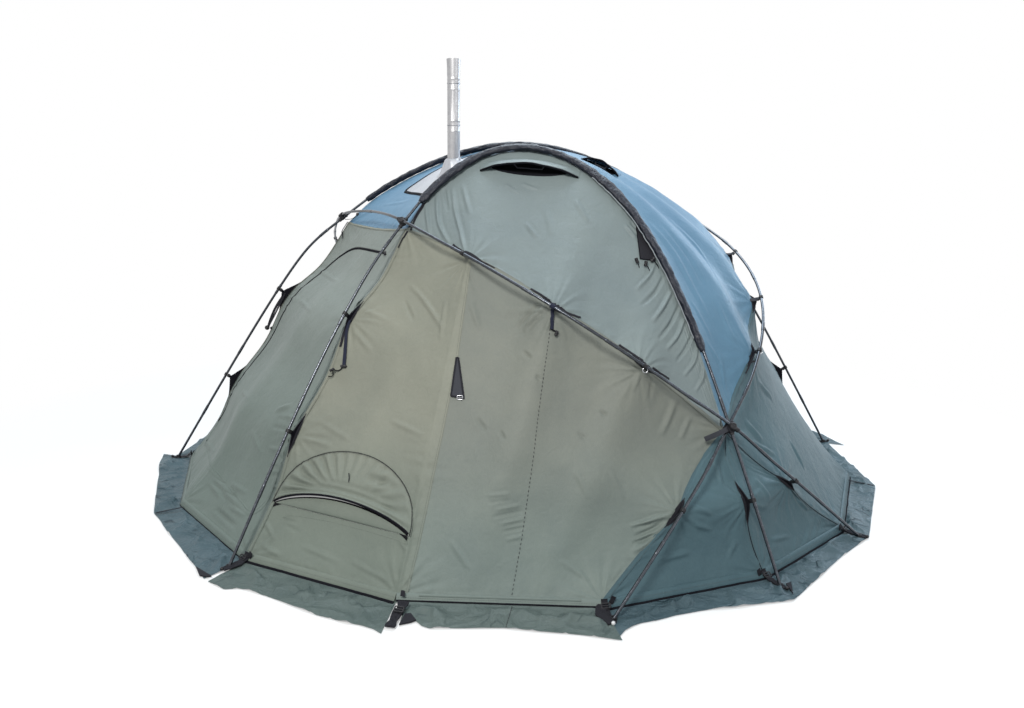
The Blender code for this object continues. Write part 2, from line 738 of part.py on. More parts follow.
def makeDoor(side, panel, grid):
    place = panelFrame(grid, 0.5, 0.5, 0.3)
    turn = sides[side]

    def flat(point):
        offset = point - place.origin
        return np.array([np.dot(offset, place.along), np.dot(offset, place.up)])

    legFree = [flat(p * turn) for p in (corner["left"], seams["leftLeg"][-1])]
    legHinge = [flat(p * turn) for p in (corner["frontLeft"], seams["frontLeftLeg"][-1])]

    def onLeg(leg, height, inset):
        share = (height - leg[0][1]) / (leg[1][1] - leg[0][1])
        return np.array([leg[0][0] + (leg[1][0] - leg[0][0]) * share + inset, height])

    low = max(legFree[0][1], legHinge[0][1]) + doorSize["sill"]
    high = low + doorSize["head"]
    corners = [onLeg(legFree, low, doorSize["freeInset"]), onLeg(legHinge, low, -doorSize["hingeInset"]),
               onLeg(legHinge, high, -doorSize["hingeInset"]), onLeg(legFree, high, doorSize["freeInset"])]
    outline = rounded(corners, [0.05, doorSize["hingeRound"], doorSize["hingeRound"], doorSize["headRound"]])
    makeLeaf("door_" + side, panel, grid, place, outline)
    tree = panelTree(grid)
    edge = [corners[1] + (corners[2] - corners[1]) * s for s in np.linspace(0.02, 0.98, 15)]
    outermost = max(heightOn(tree, place, *e) for e in edge) + fabricThickness / 2 + hingeLift
    jointNotes["door_" + side] = (place.point(*corners[1], outermost), place.point(*corners[2], outermost))


def makeLowVent(side, panel, grid):
    place = panelFrame(grid, lowVent["along"], lowVent["rise"], 0.2)
    half, height = lowVent["width"] / 2, lowVent["height"]
    outline = [np.array([half * math.cos(a), height * math.sin(a)]) for a in np.linspace(0, math.pi, 17)]
    makeLeaf("low_vent_flap_" + side, panel, grid, place, outline)
    tree = panelTree(grid)
    highest = max(heightOn(tree, place, x, 0.0) for x in np.linspace(-half, half, 9))
    outermost = highest + fabricThickness / 2 + hingeLift
    jointNotes["low_vent_flap_" + side] = (place.point(-half, 0, outermost), place.point(half, 0, outermost))


def lens(width, height, count=10):
    top = [np.array([width / 2 * math.cos(a), height / 2 * math.sin(a)])
           for a in np.linspace(0, 2 * math.pi, 2 * count, endpoint=False)]
    return top


def makeVent(name, side, panel, grid, sizes):
    place = panelFrame(grid, sizes["along"], sizes["up"], tilt=sizes["tilt"])
    cut(panel, prism(name + "_hole_" + side, place, lens(sizes["width"], sizes["height"])))
    hood(name + "_hood_" + side, grid, place, sizes["height"] / 2 + sizes["lip"], sizes["hoodWidth"],
         sizes["hoodReach"], sizes["hoodRise"], sizes["sag"])


def makeStoveFittings(panel, grid):
    place = panelFrame(grid, stoveJack["along"], stoveJack["across"])
    origin = place.origin
    half, wide = stoveJack["length"] / 2, stoveJack["width"] / 2
    corners = [(-wide, -half), (wide, -half), (wide, half), (-wide, half)]
    outline = rounded(corners, [stoveJack["round"]] * 4, 3)
    cut(panel, prism("stove_jack_hole", place, outline))
    jack = addObject("stove_jack", sheetMesh("stove_jack", grid), "heatCloth")
    cut(jack, prism("stove_jack_cut", place, shrunk(outline, zipGap)), "INTERSECT")
    upright = np.array([0.0, 0.0, 1.0])
    collar = cylinder("stove_jack_collar", origin + upright * collarRise / 4, upright, collarRadius,
                      collarRise * 1.5, 24)
    cut(jack, collar, "UNION")
    cut(jack, cylinder("stove_jack_bore", origin, upright, pipeRadius + boreClearance, 0.5, 24))
    stops = (pipeFoot,) + tuple(pipeTop - step for step in pipeSteps) + (pipeTop,)
    names = ("pipe_lower", "pipe_middle", "pipe_top")
    for k, name in enumerate(names):
        makePipe(name, origin, stops[k], stops[k + 1], k)


def makePipe(name, origin, low, high, order):
    # each section slips over a spigot, drawn in from the section below
    outer = pipeRadius
    inner = outer - pipeWall
    neck = inner - boreClearance
    last = order == 2
    flare = pipeFlare if last else 0.0
    profile = [(outer + flare, high)] if last else [(neck, high + pipeLap), (neck, high + 0.0004), (outer, high)]
    if last:
        profile.append((outer, high - 0.10))
    start = low + 0.0008 if order else low
    profile += [(outer, start), (inner, start)]
    if last:
        profile += [(inner, high - 0.10), (inner + flare, high)]
    else:
        profile += [(inner, high - 0.004), (neck - pipeWall, high + 0.0004), (neck - pipeWall, high + pipeLap)]
    segments = 24
    verts, faces = [], []
    for r, z in profile:
        for n in range(segments):
            angle = 2 * math.pi * n / segments
            verts.append((origin[0] + r * math.cos(angle), origin[1] + r * math.sin(angle), z))
    count = len(profile)
    for k in range(count):
        m = (k + 1) % count
        for n in range(segments):
            o = (n + 1) % segments
            faces.append((k * segments + n, m * segments + n, m * segments + o, k * segments + o))
    mesh = meshFrom(name, verts, faces, smooth=True)
    return addObject(name, mesh, "steel")


# Ground pieces

def makeAnchors(bores):
    feet = [("left", "pole_centre", 0), ("frontLeft", "pole_front", 0), ("frontRight", "pole_diagonal_left", -1),
            ("sideFront", "pole_front", -1), ("side", "pole_diagonal_right", 0)]
    byName = {pole.name: pole for pole in poles.values()}
    partner = {"pole_front": "pole_rear", "pole_diagonal_left": "pole_diagonal_right",
               "pole_diagonal_right": "pole_diagonal_left", "pole_centre": "pole_centre"}
    for side, turn in sides.items():
        for name, poleName, end in feet:
            pole = byName[poleName]
            ordered = pole.points if end == 0 else pole.points[::-1]
            middle = np.array([np.interp(0.022, ordered[:60, 2], ordered[:60, k]) for k in range(3)]) * turn
            azimuth = cornerAzimuths[name] + (180.0 if side == "rear" else 0.0)
            bore = bores[poleName if side == "front" else partner[poleName]]
            spaced = "".join("_" + c.lower() if c.isupper() else c for c in name)
            makeAnchor("foot_anchor_" + spaced + "_" + side, azimuth, middle, bore)


def makeAnchor(name, azimuth, middle, bore):
    # webbing strip from the wall's corner out under the pole's tip, with the cup that takes it
    outward = polar(azimuth, 1.0)
    across = polar(azimuth + 90.0, 1.0)
    inner = floorRadius + fabricThickness / 2 + seatGap
    outer = footRadius + anchorTail
    profile = [(inner, 0.0), (outer, 0.0), (outer, anchorThickness), (inner + anchorThickness, anchorThickness),
               (inner + anchorThickness, anchorRise), (inner, anchorRise)]
    verts = [outward * reach + across * side + np.array([0.0, 0.0, height])
             for side in (-anchorWidth / 2, anchorWidth / 2) for reach, height in profile]
    count = len(profile)
    faces = [tuple(range(count)), tuple(range(2 * count - 1, count - 1, -1))]
    faces += [(k, k + count, (k + 1) % count + count, (k + 1) % count) for k in range(count)]
    strip = addObject(name, meshFrom(name, verts, faces), "webbing")
    low = anchorThickness / 4
    cup = cylinder(name + "_cup", (middle[0], middle[1], (low + cupHeight) / 2), (0, 0, 1), cupRadius,
                   cupHeight - low, 16)
    cut(strip, cup, "UNION")
    cut(strip, bore)


def makeSkirts():
    runs = {"door": ("left", "doorSill", "frontLeft"), "vent": ("frontLeft", "front"),
            "front": ("front", "frontRight"), "corner": ("frontRight", "sideFront", "side"),
            "side": ("side", "right", "leftTurned")}
    profile = [(0.0003, wallFoot - 0.0013), (0.024, 0.0150), (0.060, skirtThickness / 2 + 0.0002),
               (skirtWidth, skirtThickness / 2)]
    for side, turn in sides.items():
        for name, stops in runs.items():
            base = groundLine(*stops, cells=4)
            base[0] = base[0] + unit(base[1] - base[0]) * cornerSlot
            base[-1] = base[-1] + unit(base[-2] - base[-1]) * cornerSlot
            rows = []
            for reach, height in profile:
                row = []
                for point in base:
                    outward = unit(np.array([point[0], point[1], 0.0]))
                    row.append(np.array([point[0], point[1], 0.0]) + outward * reach + np.array([0, 0, height]))
                rows.append(row)
            skirt = skirtSheet("skirt_" + name + "_" + side, np.array(rows)[::-1] * turn)
            if name == "corner":
                azimuth = cornerAzimuths["sideFront"] + (180.0 if side == "rear" else 0.0)
                cut(skirt, notch("skirt_notch_" + side, azimuth))


def notch(name, azimuth):
    outward, across = polar(azimuth, 1.0), polar(azimuth + 90.0, 1.0)
    reaches = (floorRadius - 0.03, footRadius + anchorTail + notchMargin)
    outline = [(a, r) for r in reaches for a in (-notchHalf, notchHalf)]
    verts = [across * a + outward * r + np.array([0.0, 0.0, z]) for z in (-0.02, 0.08) for a, r in outline]
    faces = [(0, 1, 3, 2), (4, 6, 7, 5), (0, 4, 5, 1), (1, 5, 7, 3), (3, 7, 6, 2), (2, 6, 4, 0)]
    return addObject(name, meshFrom(name, verts, faces))


def skirtSheet(name, grid):
    rows, columns = grid.shape[:2]
    faces = [(j * columns + i, j * columns + i + 1, (j + 1) * columns + i + 1, (j + 1) * columns + i)
             for j in range(rows - 1) for i in range(columns - 1)]
    skirt = addObject(name, meshFrom(name, grid.reshape(-1, 3), faces), "skirt")
    wall = skirt.modifiers.new("cloth", "SOLIDIFY")
    wall.thickness = skirtThickness
    wall.offset = 0.0
    return skirt


bores = makePoleObjects()
makeHubs(bores)
makeShell()
makeAnchors(bores)
makeSkirts()
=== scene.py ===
import math

import bmesh
import bpy
import numpy as np
from mathutils import Matrix, Vector, noise
from mathutils.bvhtree import BVHTree


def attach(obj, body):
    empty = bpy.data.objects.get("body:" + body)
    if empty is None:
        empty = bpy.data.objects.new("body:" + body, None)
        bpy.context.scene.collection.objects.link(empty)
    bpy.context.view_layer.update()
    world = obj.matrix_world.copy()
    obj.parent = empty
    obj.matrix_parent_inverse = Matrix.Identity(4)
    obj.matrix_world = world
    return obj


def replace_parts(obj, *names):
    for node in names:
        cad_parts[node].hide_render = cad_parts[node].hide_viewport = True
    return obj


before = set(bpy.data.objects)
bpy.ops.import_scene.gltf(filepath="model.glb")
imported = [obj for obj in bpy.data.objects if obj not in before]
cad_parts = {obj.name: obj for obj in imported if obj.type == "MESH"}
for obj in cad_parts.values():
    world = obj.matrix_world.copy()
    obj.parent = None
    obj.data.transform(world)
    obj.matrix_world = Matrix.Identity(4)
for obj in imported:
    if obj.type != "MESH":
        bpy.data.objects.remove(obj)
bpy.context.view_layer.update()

# The pole frame, in the same values and formulas as the CAD, in metres and degrees
floorRadius = 1.85
footRadius = 1.945
cornerAzimuths = {
    "left": -90.0, "doorSill": -67.0, "frontLeft": -43.7, "front": -20.9,
    "frontRight": 3.1, "sideFront": 25.3, "side": 46.2, "right": 70.6}
poleRadius = 0.0065
peakHeight = 1.773
centreKnee = (1.278, 1.059)
centreHub = (0.982, 1.368)
sideHub = (1.646, 0.579)
diagonalKnee = (-1.9, 1.356, 1.066)
diagonalCrown = (-0.892, 1.405)
frontCrown = (1.072, 0.938, 1.716)
frontShoulder = (1.590, 0.743, 1.486)
crossingWall = 0.0034
crossingReach = 0.30
fabricThickness = 0.003
clipDrop = 0.045
hubDrop = 0.055
scallop = 0.022
archClipDrop = 0.062
seamPull = 0.030
wallFoot = 0.030
tipCut = 0.18
sleeveRadius = 0.019
sleeveCells = 10
frontSleeveGaps = (0.139, 0.346)
centreSleeveGap = 0.171
centreClips = (0.57, 1.144)
frontLeftClips = (0.60, 1.17)
frontRightClip = 4.377
diagonalFootClip = 0.51
diagonalClips = (1.385, 1.825, 2.313)
sideClips = (1.389, 1.770, 2.228)
seatGap = 0.0005
doorSize = dict(sill=0.105, head=1.31, hingeInset=0.075, freeInset=0.080, hingeRound=0.10, headRound=0.34)
lowVent = dict(width=0.69, height=0.27, rise=0.147, along=0.50)
peakVent = dict(along=0.353, up=0.866, width=0.36, height=0.085, lip=0.006, hoodWidth=0.46, hoodReach=0.075,
                hoodRise=0.055, sag=0.035, tilt=6.5)
roofVent = dict(along=0.55, up=0.44, width=0.15, height=0.070, lip=0.008, hoodWidth=0.20, hoodReach=0.065,
                hoodRise=0.035, sag=0.010, tilt=0.0)
stoveJack = dict(length=0.46, width=0.44, along=0.220, across=0.49, round=0.03)
pipeRadius = 0.0315
pipeFoot = 1.34
pipeTop = 2.150
pipeSteps = (0.32, 0.12)
pipeFlare = 0.0035

halfTurn = np.array([-1.0, -1.0, 1.0])
clothStep = 0.0075          # cell size of the cloth meshes
upright = np.array([0.0, 0.0, 1.0])


def unit(vector):
    return vector / max(np.linalg.norm(vector), 1e-12)


def units(vectors):
    return vectors / np.maximum(np.linalg.norm(vectors, axis=-1, keepdims=True), 1e-12)


def tangents(line):
    return units(np.gradient(line, axis=0))


def travelled(line):
    # distance along a line, from its first point to each
    steps = np.linalg.norm(np.diff(np.asarray(line, float), axis=0), axis=1)
    return np.concatenate([[0.0], np.cumsum(steps)])


def polar(azimuth, radius, height=0.0):
    angle = math.radians(azimuth)
    return np.array([radius * math.sin(angle), -radius * math.cos(angle), height])


def domeNormal(points):
    points = np.asarray(points, float)
    across = 2.0 / footRadius ** 2
    return units(np.stack([points[..., 0] * across, points[..., 1] * across,
                           np.full(points.shape[:-1], 1.0 / peakHeight)], -1))


def smoothCurve(nodes, count=600):
    # natural cubic spline, knots spaced by the root of the chord
    nodes = np.array(nodes, float)
    chords = np.linalg.norm(np.diff(nodes, axis=0), axis=1)
    knots = np.concatenate([[0.0], np.cumsum(np.sqrt(chords))])
    steps = np.diff(knots)
    matrix = np.eye(len(nodes))
    bend = np.zeros((len(nodes), 3))
    for i in range(1, len(nodes) - 1):
        matrix[i, i - 1:i + 2] = steps[i - 1], 2 * (steps[i - 1] + steps[i]), steps[i]
        bend[i] = 6 * ((nodes[i + 1] - nodes[i]) / steps[i] - (nodes[i] - nodes[i - 1]) / steps[i - 1])
    second = np.linalg.solve(matrix, bend)
    points = []
    for t in np.linspace(0.0, knots[-1], count):
        i = min(int(np.searchsorted(knots, t, side="right")) - 1, len(steps) - 1)
        h, a, b = steps[i], knots[i + 1] - t, t - knots[i]
        points.append((second[i] * a ** 3 + second[i + 1] * b ** 3) / (6 * h)
                      + (nodes[i] / h - second[i] * h / 6) * a
                      + (nodes[i + 1] / h - second[i + 1] * h / 6) * b)
    return np.array(points)


def mirrored(point, azimuth):
    across = polar(azimuth + 90.0, 1.0)
    return point - 2.0 * np.dot(point, across) * across


class Pole:
    def __init__(self, name, points):
        self.name = name
        self.points = np.array(points)
        self.measure()

    def measure(self):
        self.lengths = travelled(self.points)
        self.length = self.lengths[-1]

    def at(self, distance):
        return np.array([np.interp(distance, self.lengths, self.points[:, k]) for k in range(3)])

    def nearest(self, point):
        return self.lengths[np.argmin(np.linalg.norm(self.points - point, axis=1))]

    def run(self, start, end, step):
        stations = np.linspace(start, end, max(2, int(abs(end - start) / step) + 1))
        return np.stack([np.interp(stations, self.lengths, self.points[:, k]) for k in range(3)], -1)

    def turned(self, name):
        return Pole(name, self.points * halfTurn)

    def bendAside(self, crossings):
        moved = self.points.copy()
        for hub, offset in crossings:
            share = np.abs(self.lengths - self.nearest(hub)) / crossingReach
            bump = np.where(share < 1.0, np.cos(np.minimum(share, 1.0) * math.pi / 2) ** 2, 0.0)
            moved += domeNormal(self.points) * (offset * bump)[:, None]
        self.points = moved
        self.measure()


corner = {name: polar(azimuth, floorRadius, wallFoot) for name, azimuth in cornerAzimuths.items()}
diagonalPlane = (cornerAzimuths["side"] + cornerAzimuths["frontRight"] + 180.0) / 2
hubCentreLeft = np.array([-centreHub[0], 0.0, centreHub[1]])
hubCentreRight = hubCentreLeft * halfTurn
hubFrontLeft = mirrored(hubCentreLeft, diagonalPlane)
hubSideRight = polar(diagonalPlane - 90.0, *sideHub)
hubs = {"hub_side_right": hubSideRight, "hub_side_left": hubSideRight * halfTurn,
        "hub_front_left": hubFrontLeft, "hub_rear_right": hubFrontLeft * halfTurn,
        "hub_centre_left": hubCentreLeft, "hub_centre_right": hubCentreRight}


def makePoles():
    centreHalf = [np.array([-footRadius, 0.0, 0.0]), np.array([-centreKnee[0], 0.0, centreKnee[1]]),
                  hubCentreLeft, np.array([0.0, 0.0, peakHeight])]
    centre = Pole("pole_centre", smoothCurve(centreHalf + [p * halfTurn for p in centreHalf[-2::-1]]))
    crown = polar(diagonalPlane, *diagonalCrown)
    half = [polar(cornerAzimuths["side"], footRadius), hubSideRight, polar(*diagonalKnee), hubFrontLeft,
            crown]
    diagonal = smoothCurve(half + [mirrored(p, diagonalPlane) for p in half[-2::-1]])
    first = polar(cornerAzimuths["frontLeft"], footRadius)
    last = polar(cornerAzimuths["sideFront"], footRadius)
    along = unit(last - first)
    inward = np.array([-along[1], along[0], 0.0])
    crownAndShoulder = [first + along * a + inward * b + upright * c
                        for a, b, c in (frontCrown, frontShoulder)]
    front = Pole("pole_front", smoothCurve([first, hubFrontLeft, *crownAndShoulder, hubSideRight, last]))
    right = Pole("pole_diagonal_right", diagonal)
    step = 2 * poleRadius + crossingWall
    centre.bendAside([(hubCentreLeft, -step / 2), (hubCentreRight, -step / 2)])
    front.bendAside([(hubFrontLeft, -step / 2)])
    right.bendAside([(hubSideRight, step), (hubFrontLeft, step / 2), (hubCentreLeft, step / 2),
                     (hubSideRight * halfTurn, -step)])
    return {"centre": centre, "front": front, "rear": front.turned("pole_rear"),
            "right": right, "left": right.turned("pole_diagonal_left")}


poles = makePoles()
centreStart = poles["centre"].nearest(hubCentreLeft) + centreSleeveGap
frontSpan = (poles["front"].nearest(hubFrontLeft) + frontSleeveGaps[0],
             poles["front"].nearest(hubSideRight) - frontSleeveGaps[1])
sleeveSpans = {"centre": (centreStart, poles["centre"].length - centreStart), "front": frontSpan,
               "rear": frontSpan}


# Seam lines and panel grids

def below(pole, distance, drop):
    point = pole.at(distance)
    return point - domeNormal(point) * drop


def pulled(point, ahead, distance):
    return point + unit(np.cross(domeNormal(point), ahead)) * distance


def seam(anchors, cells, depth=scallop, pull=0.0):
    line = [np.array(anchors[0])]
    for start, end, count in zip(anchors, anchors[1:], cells):
        for k in range(1, count + 1):
            share = k / count
            bow = 4 * share * (1 - share) * (count > 1)
            point = start + (end - start) * share
            point = point - domeNormal(point) * depth * bow
            line.append(pulled(point, end - start, pull * bow) if pull else point)
    return line


def footSeam(pole, foot, clips, hub, cells, drop=clipDrop):
    anchors = [foot] + [below(pole, c, drop) for c in clips] + [below(pole, pole.nearest(hub), hubDrop)]
    return seam(anchors, cells)


def sleeveSeam(key, fromHub, toHub):
    pole = poles[key]
    start, end = sleeveSpans[key]
    drop = sleeveRadius + seatGap + fabricThickness / 2
    line = [below(pole, pole.nearest(fromHub), hubDrop)]
    line += [below(pole, s, drop) for s in np.linspace(start, end, sleeveCells + 1)]
    return line + [below(pole, pole.nearest(toHub), hubDrop)]


def straight(start, end, cells):
    return [start + (end - start) * k / cells for k in range(cells + 1)]


def makeSeams():
    centre, front, right, left = poles["centre"], poles["front"], poles["right"], poles["left"]
    fromEnd = lambda distance: left.length - distance
    lines = {}
    lines["leftLeg"] = footSeam(centre, corner["left"], centreClips, hubCentreLeft, (2, 2, 2), archClipDrop)
    lines["rightLeg"] = [p * halfTurn for p in lines["leftLeg"]]
    lines["frontLeftLeg"] = footSeam(front, corner["frontLeft"], frontLeftClips, hubFrontLeft, (2, 2, 2))
    lines["sideFrontLeg"] = footSeam(front, corner["sideFront"], (frontRightClip,), hubSideRight, (3, 3))
    lines["sideLeg"] = footSeam(right, corner["side"], (diagonalFootClip,), hubSideRight, (3, 3))
    lines["frontRightLeg"] = footSeam(left, corner["frontRight"], (fromEnd(diagonalFootClip),), hubSideRight,
                                      (3, 3))
    hubEnd = below(right, right.nearest(hubFrontLeft), hubDrop)
    towardsFoot = lambda s: right.at(s - 0.05) - right.at(s + 0.05)
    clipEnds = [pulled(below(right, s, clipDrop), towardsFoot(s), seamPull) for s in diagonalClips]
    hubStart = below(right, right.nearest(hubSideRight), hubDrop)
    lines["diagonalFront"] = seam([hubEnd] + clipEnds[::-1] + [hubStart], (3, 3, 3, 3), pull=scallop)
    leftClips = [below(left, fromEnd(s), clipDrop) for s in sideClips]
    hubTop = below(left, left.nearest(hubCentreRight), hubDrop)
    lines["diagonalSide"] = seam([hubStart] + leftClips + [hubTop], (2, 2, 2, 2))
    lines["diagonalTop"] = seam([hubEnd, below(right, right.nearest(hubCentreLeft), hubDrop)], (8,))
    lines["frontArch"] = sleeveSeam("front", hubFrontLeft, hubSideRight)
    lines["centreArch"] = sleeveSeam("centre", hubCentreLeft, hubCentreRight)
    for line, end in (("frontLeftLeg", hubEnd), ("sideFrontLeg", hubStart), ("frontRightLeg", hubStart)):
        lines[line][-1] = end
    lines["leftLeg"][-1] = lines["diagonalTop"][-1]
    lines["rightLeg"][-1] = lines["diagonalSide"][-1] = lines["diagonalTop"][-1] * halfTurn
    lines["frontArch"][0], lines["frontArch"][-1] = hubEnd, hubStart
    lines["centreArch"][0], lines["centreArch"][-1] = lines["leftLeg"][-1], lines["rightLeg"][-1]
    return lines


seams = makeSeams()


def groundLine(*stops, cells):
    line = [corner[stops[0]]]
    for start, end in zip(stops, stops[1:]):
        last = corner["left"] * halfTurn if end == "leftTurned" else corner[end]
        line += straight(corner[start], last, cells)[1:]
    return line


def shares(line):
    lengths = travelled(line)
    return lengths / lengths[-1]


def patch(bottom, top, left, right):
    us = (shares(bottom) + shares(top)) / 2
    vs = (shares(left) + shares(right)) / 2
    grid = np.zeros((len(left), len(bottom), 3))
    for j, v in enumerate(vs):
        for i, u in enumerate(us):
            corners = ((1 - u) * (1 - v) * bottom[0] + u * (1 - v) * bottom[-1]
                       + (1 - u) * v * top[0] + u * v * top[-1])
            grid[j, i] = (1 - u) * left[j] + u * right[j] + (1 - v) * bottom[i] + v * top[i] - corners
    return grid


def tightened(grid, rounds=300):
    # cloth under tension: each inner point settles between its four neighbours
    points = grid.copy()
    inner = points[1:-1, 1:-1]
    for _ in range(rounds):
        total, weight = 0.0, 0.0
        for neighbour in (points[1:-1, 2:], points[1:-1, :-2], points[2:, 1:-1], points[:-2, 1:-1]):
            pull = 1.0 / np.linalg.norm(neighbour - inner, axis=2, keepdims=True)
            total = total + neighbour * pull
            weight = weight + pull
        inner[:] = total / weight
    return points


def blunt(line, atStart, atEnd):
    line = [np.array(p) for p in line]
    if atStart:
        line[0] = line[0] + (line[1] - line[0]) * tipCut
    if atEnd:
        line[-1] = line[-1] + (line[-2] - line[-1]) * tipCut
    return line


def panelGrids():
    s = seams
    grids = {}
    doorSill = groundLine("left", "doorSill", "frontLeft", cells=4)
    grids["wall_door"] = patch(doorSill, s["diagonalTop"][::-1], s["leftLeg"], s["frontLeftLeg"])
    toClip = s["diagonalFront"][:4]
    ventSeam = straight(corner["front"], toClip[-1], 6)
    grids["wall_vent"] = patch(groundLine("frontLeft", "front", cells=3), toClip, s["frontLeftLeg"], ventSeam)
    frontTop = s["diagonalFront"][3:]
    grids["wall_front"] = patch(groundLine("front", "frontRight", cells=9), frontTop, ventSeam,
                                s["frontRightLeg"])
    low = blunt(s["diagonalFront"], True, True)
    high = blunt(s["frontArch"], True, True)
    grids["wall_upper"] = patch(low, high, straight(low[0], high[0], 5), straight(low[-1], high[-1], 5))
    legs = [blunt(s[k], False, True) for k in ("frontRightLeg", "sideFrontLeg", "sideLeg")]
    first = patch(groundLine("frontRight", "sideFront", cells=4), straight(legs[0][-1], legs[1][-1], 4),
                  legs[0], legs[1])
    second = patch(groundLine("sideFront", "side", cells=4), straight(legs[1][-1], legs[2][-1], 4),
                   legs[1], legs[2])
    grids["wall_corner"] = np.concatenate([first, second[:, 1:]], axis=1)
    sideSill = groundLine("side", "right", "leftTurned", cells=4)
    grids["wall_side"] = tightened(patch(sideSill, s["diagonalSide"], s["sideLeg"], s["rightLeg"]))
    grids["roof_strip"] = patch(s["frontArch"], s["centreArch"], s["diagonalTop"], s["diagonalSide"])
    return grids


class LocalFrame:
    def __init__(self, origin, out, along=None):
        self.origin = origin
        self.out = out
        self.along = unit(np.cross(upright, out)) if along is None else along
        self.up = np.cross(self.out, self.along)

    def point(self, a, b, c=0.0):
        return self.origin + self.along * a + self.up * b + self.out * c

    def dropped(self, tree, a, b):
        # where a point 0.4 m in front of the cloth lands on it
        return tree.ray_cast(Vector(self.point(a, b, 0.4)), Vector(-self.out))

    def flat(self, points):
        offset = np.asarray(points) - self.origin
        return np.stack([offset @ self.along, offset @ self.up], -1)


def onGrid(grid, along, up):
    rows, columns = grid.shape[0] - 1, grid.shape[1] - 1
    x, y = along * columns, up * rows
    i, j = min(int(x), columns - 1), min(int(y), rows - 1)
    fx, fy = x - i, y - j
    low = grid[j, i] * (1 - fx) + grid[j, i + 1] * fx
    high = grid[j + 1, i] * (1 - fx) + grid[j + 1, i + 1] * fx
    return low * (1 - fy) + high * fy


def panelFrame(grid, along, up, step=0.04, tilt=None):
    # level across the panel, or turned by a tilt in degrees from the panel's own rows
    across = onGrid(grid, along + step, up) - onGrid(grid, along - step, up)
    slope = onGrid(grid, along, up + step) - onGrid(grid, along, up - step)
    out = unit(np.cross(across, slope))
    if tilt is None:
        return LocalFrame(onGrid(grid, along, up), out)
    row, turn = unit(across), math.radians(tilt)
    return LocalFrame(onGrid(grid, along, up), out, row * math.cos(turn)
                      + np.cross(out, row) * math.sin(turn))


def rounded(corners, radii, steps=14):
    outline = []
    count = len(corners)
    for k in range(count):
        here = np.array(corners[k], float)
        before, after = np.array(corners[k - 1], float), np.array(corners[(k + 1) % count], float)
        inward, onward = unit(before - here), unit(after - here)
        half = math.acos(np.clip(np.dot(inward, onward), -1, 1)) / 2
        if radii[k] <= 0:
            outline.append(here)
            continue
        reach = radii[k] / math.tan(half)
        centre = here + unit(inward + onward) * radii[k] / math.sin(half)
        start = here + inward * reach - centre
        for n in range(steps + 1):
            angle = (math.pi - 2 * half) * n / steps
            outline.append(centre + start * math.cos(angle)
                           + np.array([-start[1], start[0]]) * math.sin(angle))
    return outline


# The photograph's camera, used for the view and to place details by pixel

sight = dict(focal=780.0, azimuth=-7.24, distance=4.462, height=1.497, pitch=-11.55, yaw=0.43, roll=0.80)


def cameraFrame():
    azimuth = math.radians(sight["azimuth"])
    turn = azimuth + math.radians(sight["yaw"])
    pitch, roll = math.radians(sight["pitch"]), math.radians(sight["roll"])
    ahead = np.array([-math.sin(turn) * math.cos(pitch), math.cos(turn) * math.cos(pitch), math.sin(pitch)])
    level = np.array([math.cos(turn), math.sin(turn), 0.0])
    above = np.cross(level, ahead)
    right = math.cos(roll) * level + math.sin(roll) * above
    top = -math.sin(roll) * level + math.cos(roll) * above
    place = np.array([sight["distance"] * math.sin(azimuth), -sight["distance"] * math.cos(azimuth),
                      sight["height"]])
    return place, right, top, ahead


eye, eyeRight, eyeTop, eyeAhead = cameraFrame()


def pixelRay(x, y):
    return unit(eyeAhead + eyeRight * (x - 512) / sight["focal"] + eyeTop * (354 - y) / sight["focal"])


def pixelOf(points):
    offset = np.asarray(points) - eye
    depth = offset @ eyeAhead
    return np.stack([512 + sight["focal"] * (offset @ eyeRight) / depth,
                     354 - sight["focal"] * (offset @ eyeTop) / depth], -1)


def onGround(x, y, height=0.0):
    ray = pixelRay(x, y)
    return eye + ray * (height - eye[2]) / ray[2]


# Mesh helpers

def linkMesh(name, verts, faces, material, body, smooth=True, uvs=None):
    mesh = bpy.data.meshes.new(name)
    mesh.from_pydata(np.asarray(verts, float).tolist(), [], [tuple(int(k) for k in f) for f in faces])
    if uvs is not None:
        layer = mesh.uv_layers.new(name="cloth")
        loops = np.empty(len(mesh.loops), dtype=np.int64)
        mesh.loops.foreach_get("vertex_index", loops)
        layer.data.foreach_set("uv", np.asarray(uvs, float)[loops].ravel())
    mesh.materials.append(material)
    if smooth:
        mesh.shade_smooth()
    mesh.update()
    piece = bpy.data.objects.new(name, mesh)
    bpy.context.scene.collection.objects.link(piece)
    if body:
        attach(piece, body)
    return piece


def turnedCopy(piece, name, body):
    mesh = piece.data.copy()
    count = len(mesh.vertices)
    place = np.empty(count * 3)
    mesh.vertices.foreach_get("co", place)
    mesh.vertices.foreach_set("co", (place.reshape(-1, 3) * halfTurn).ravel())
    mesh.update()
    other = bpy.data.objects.new(name, mesh)
    mesh.name = name
    bpy.context.scene.collection.objects.link(other)
    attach(other, body)
    return other


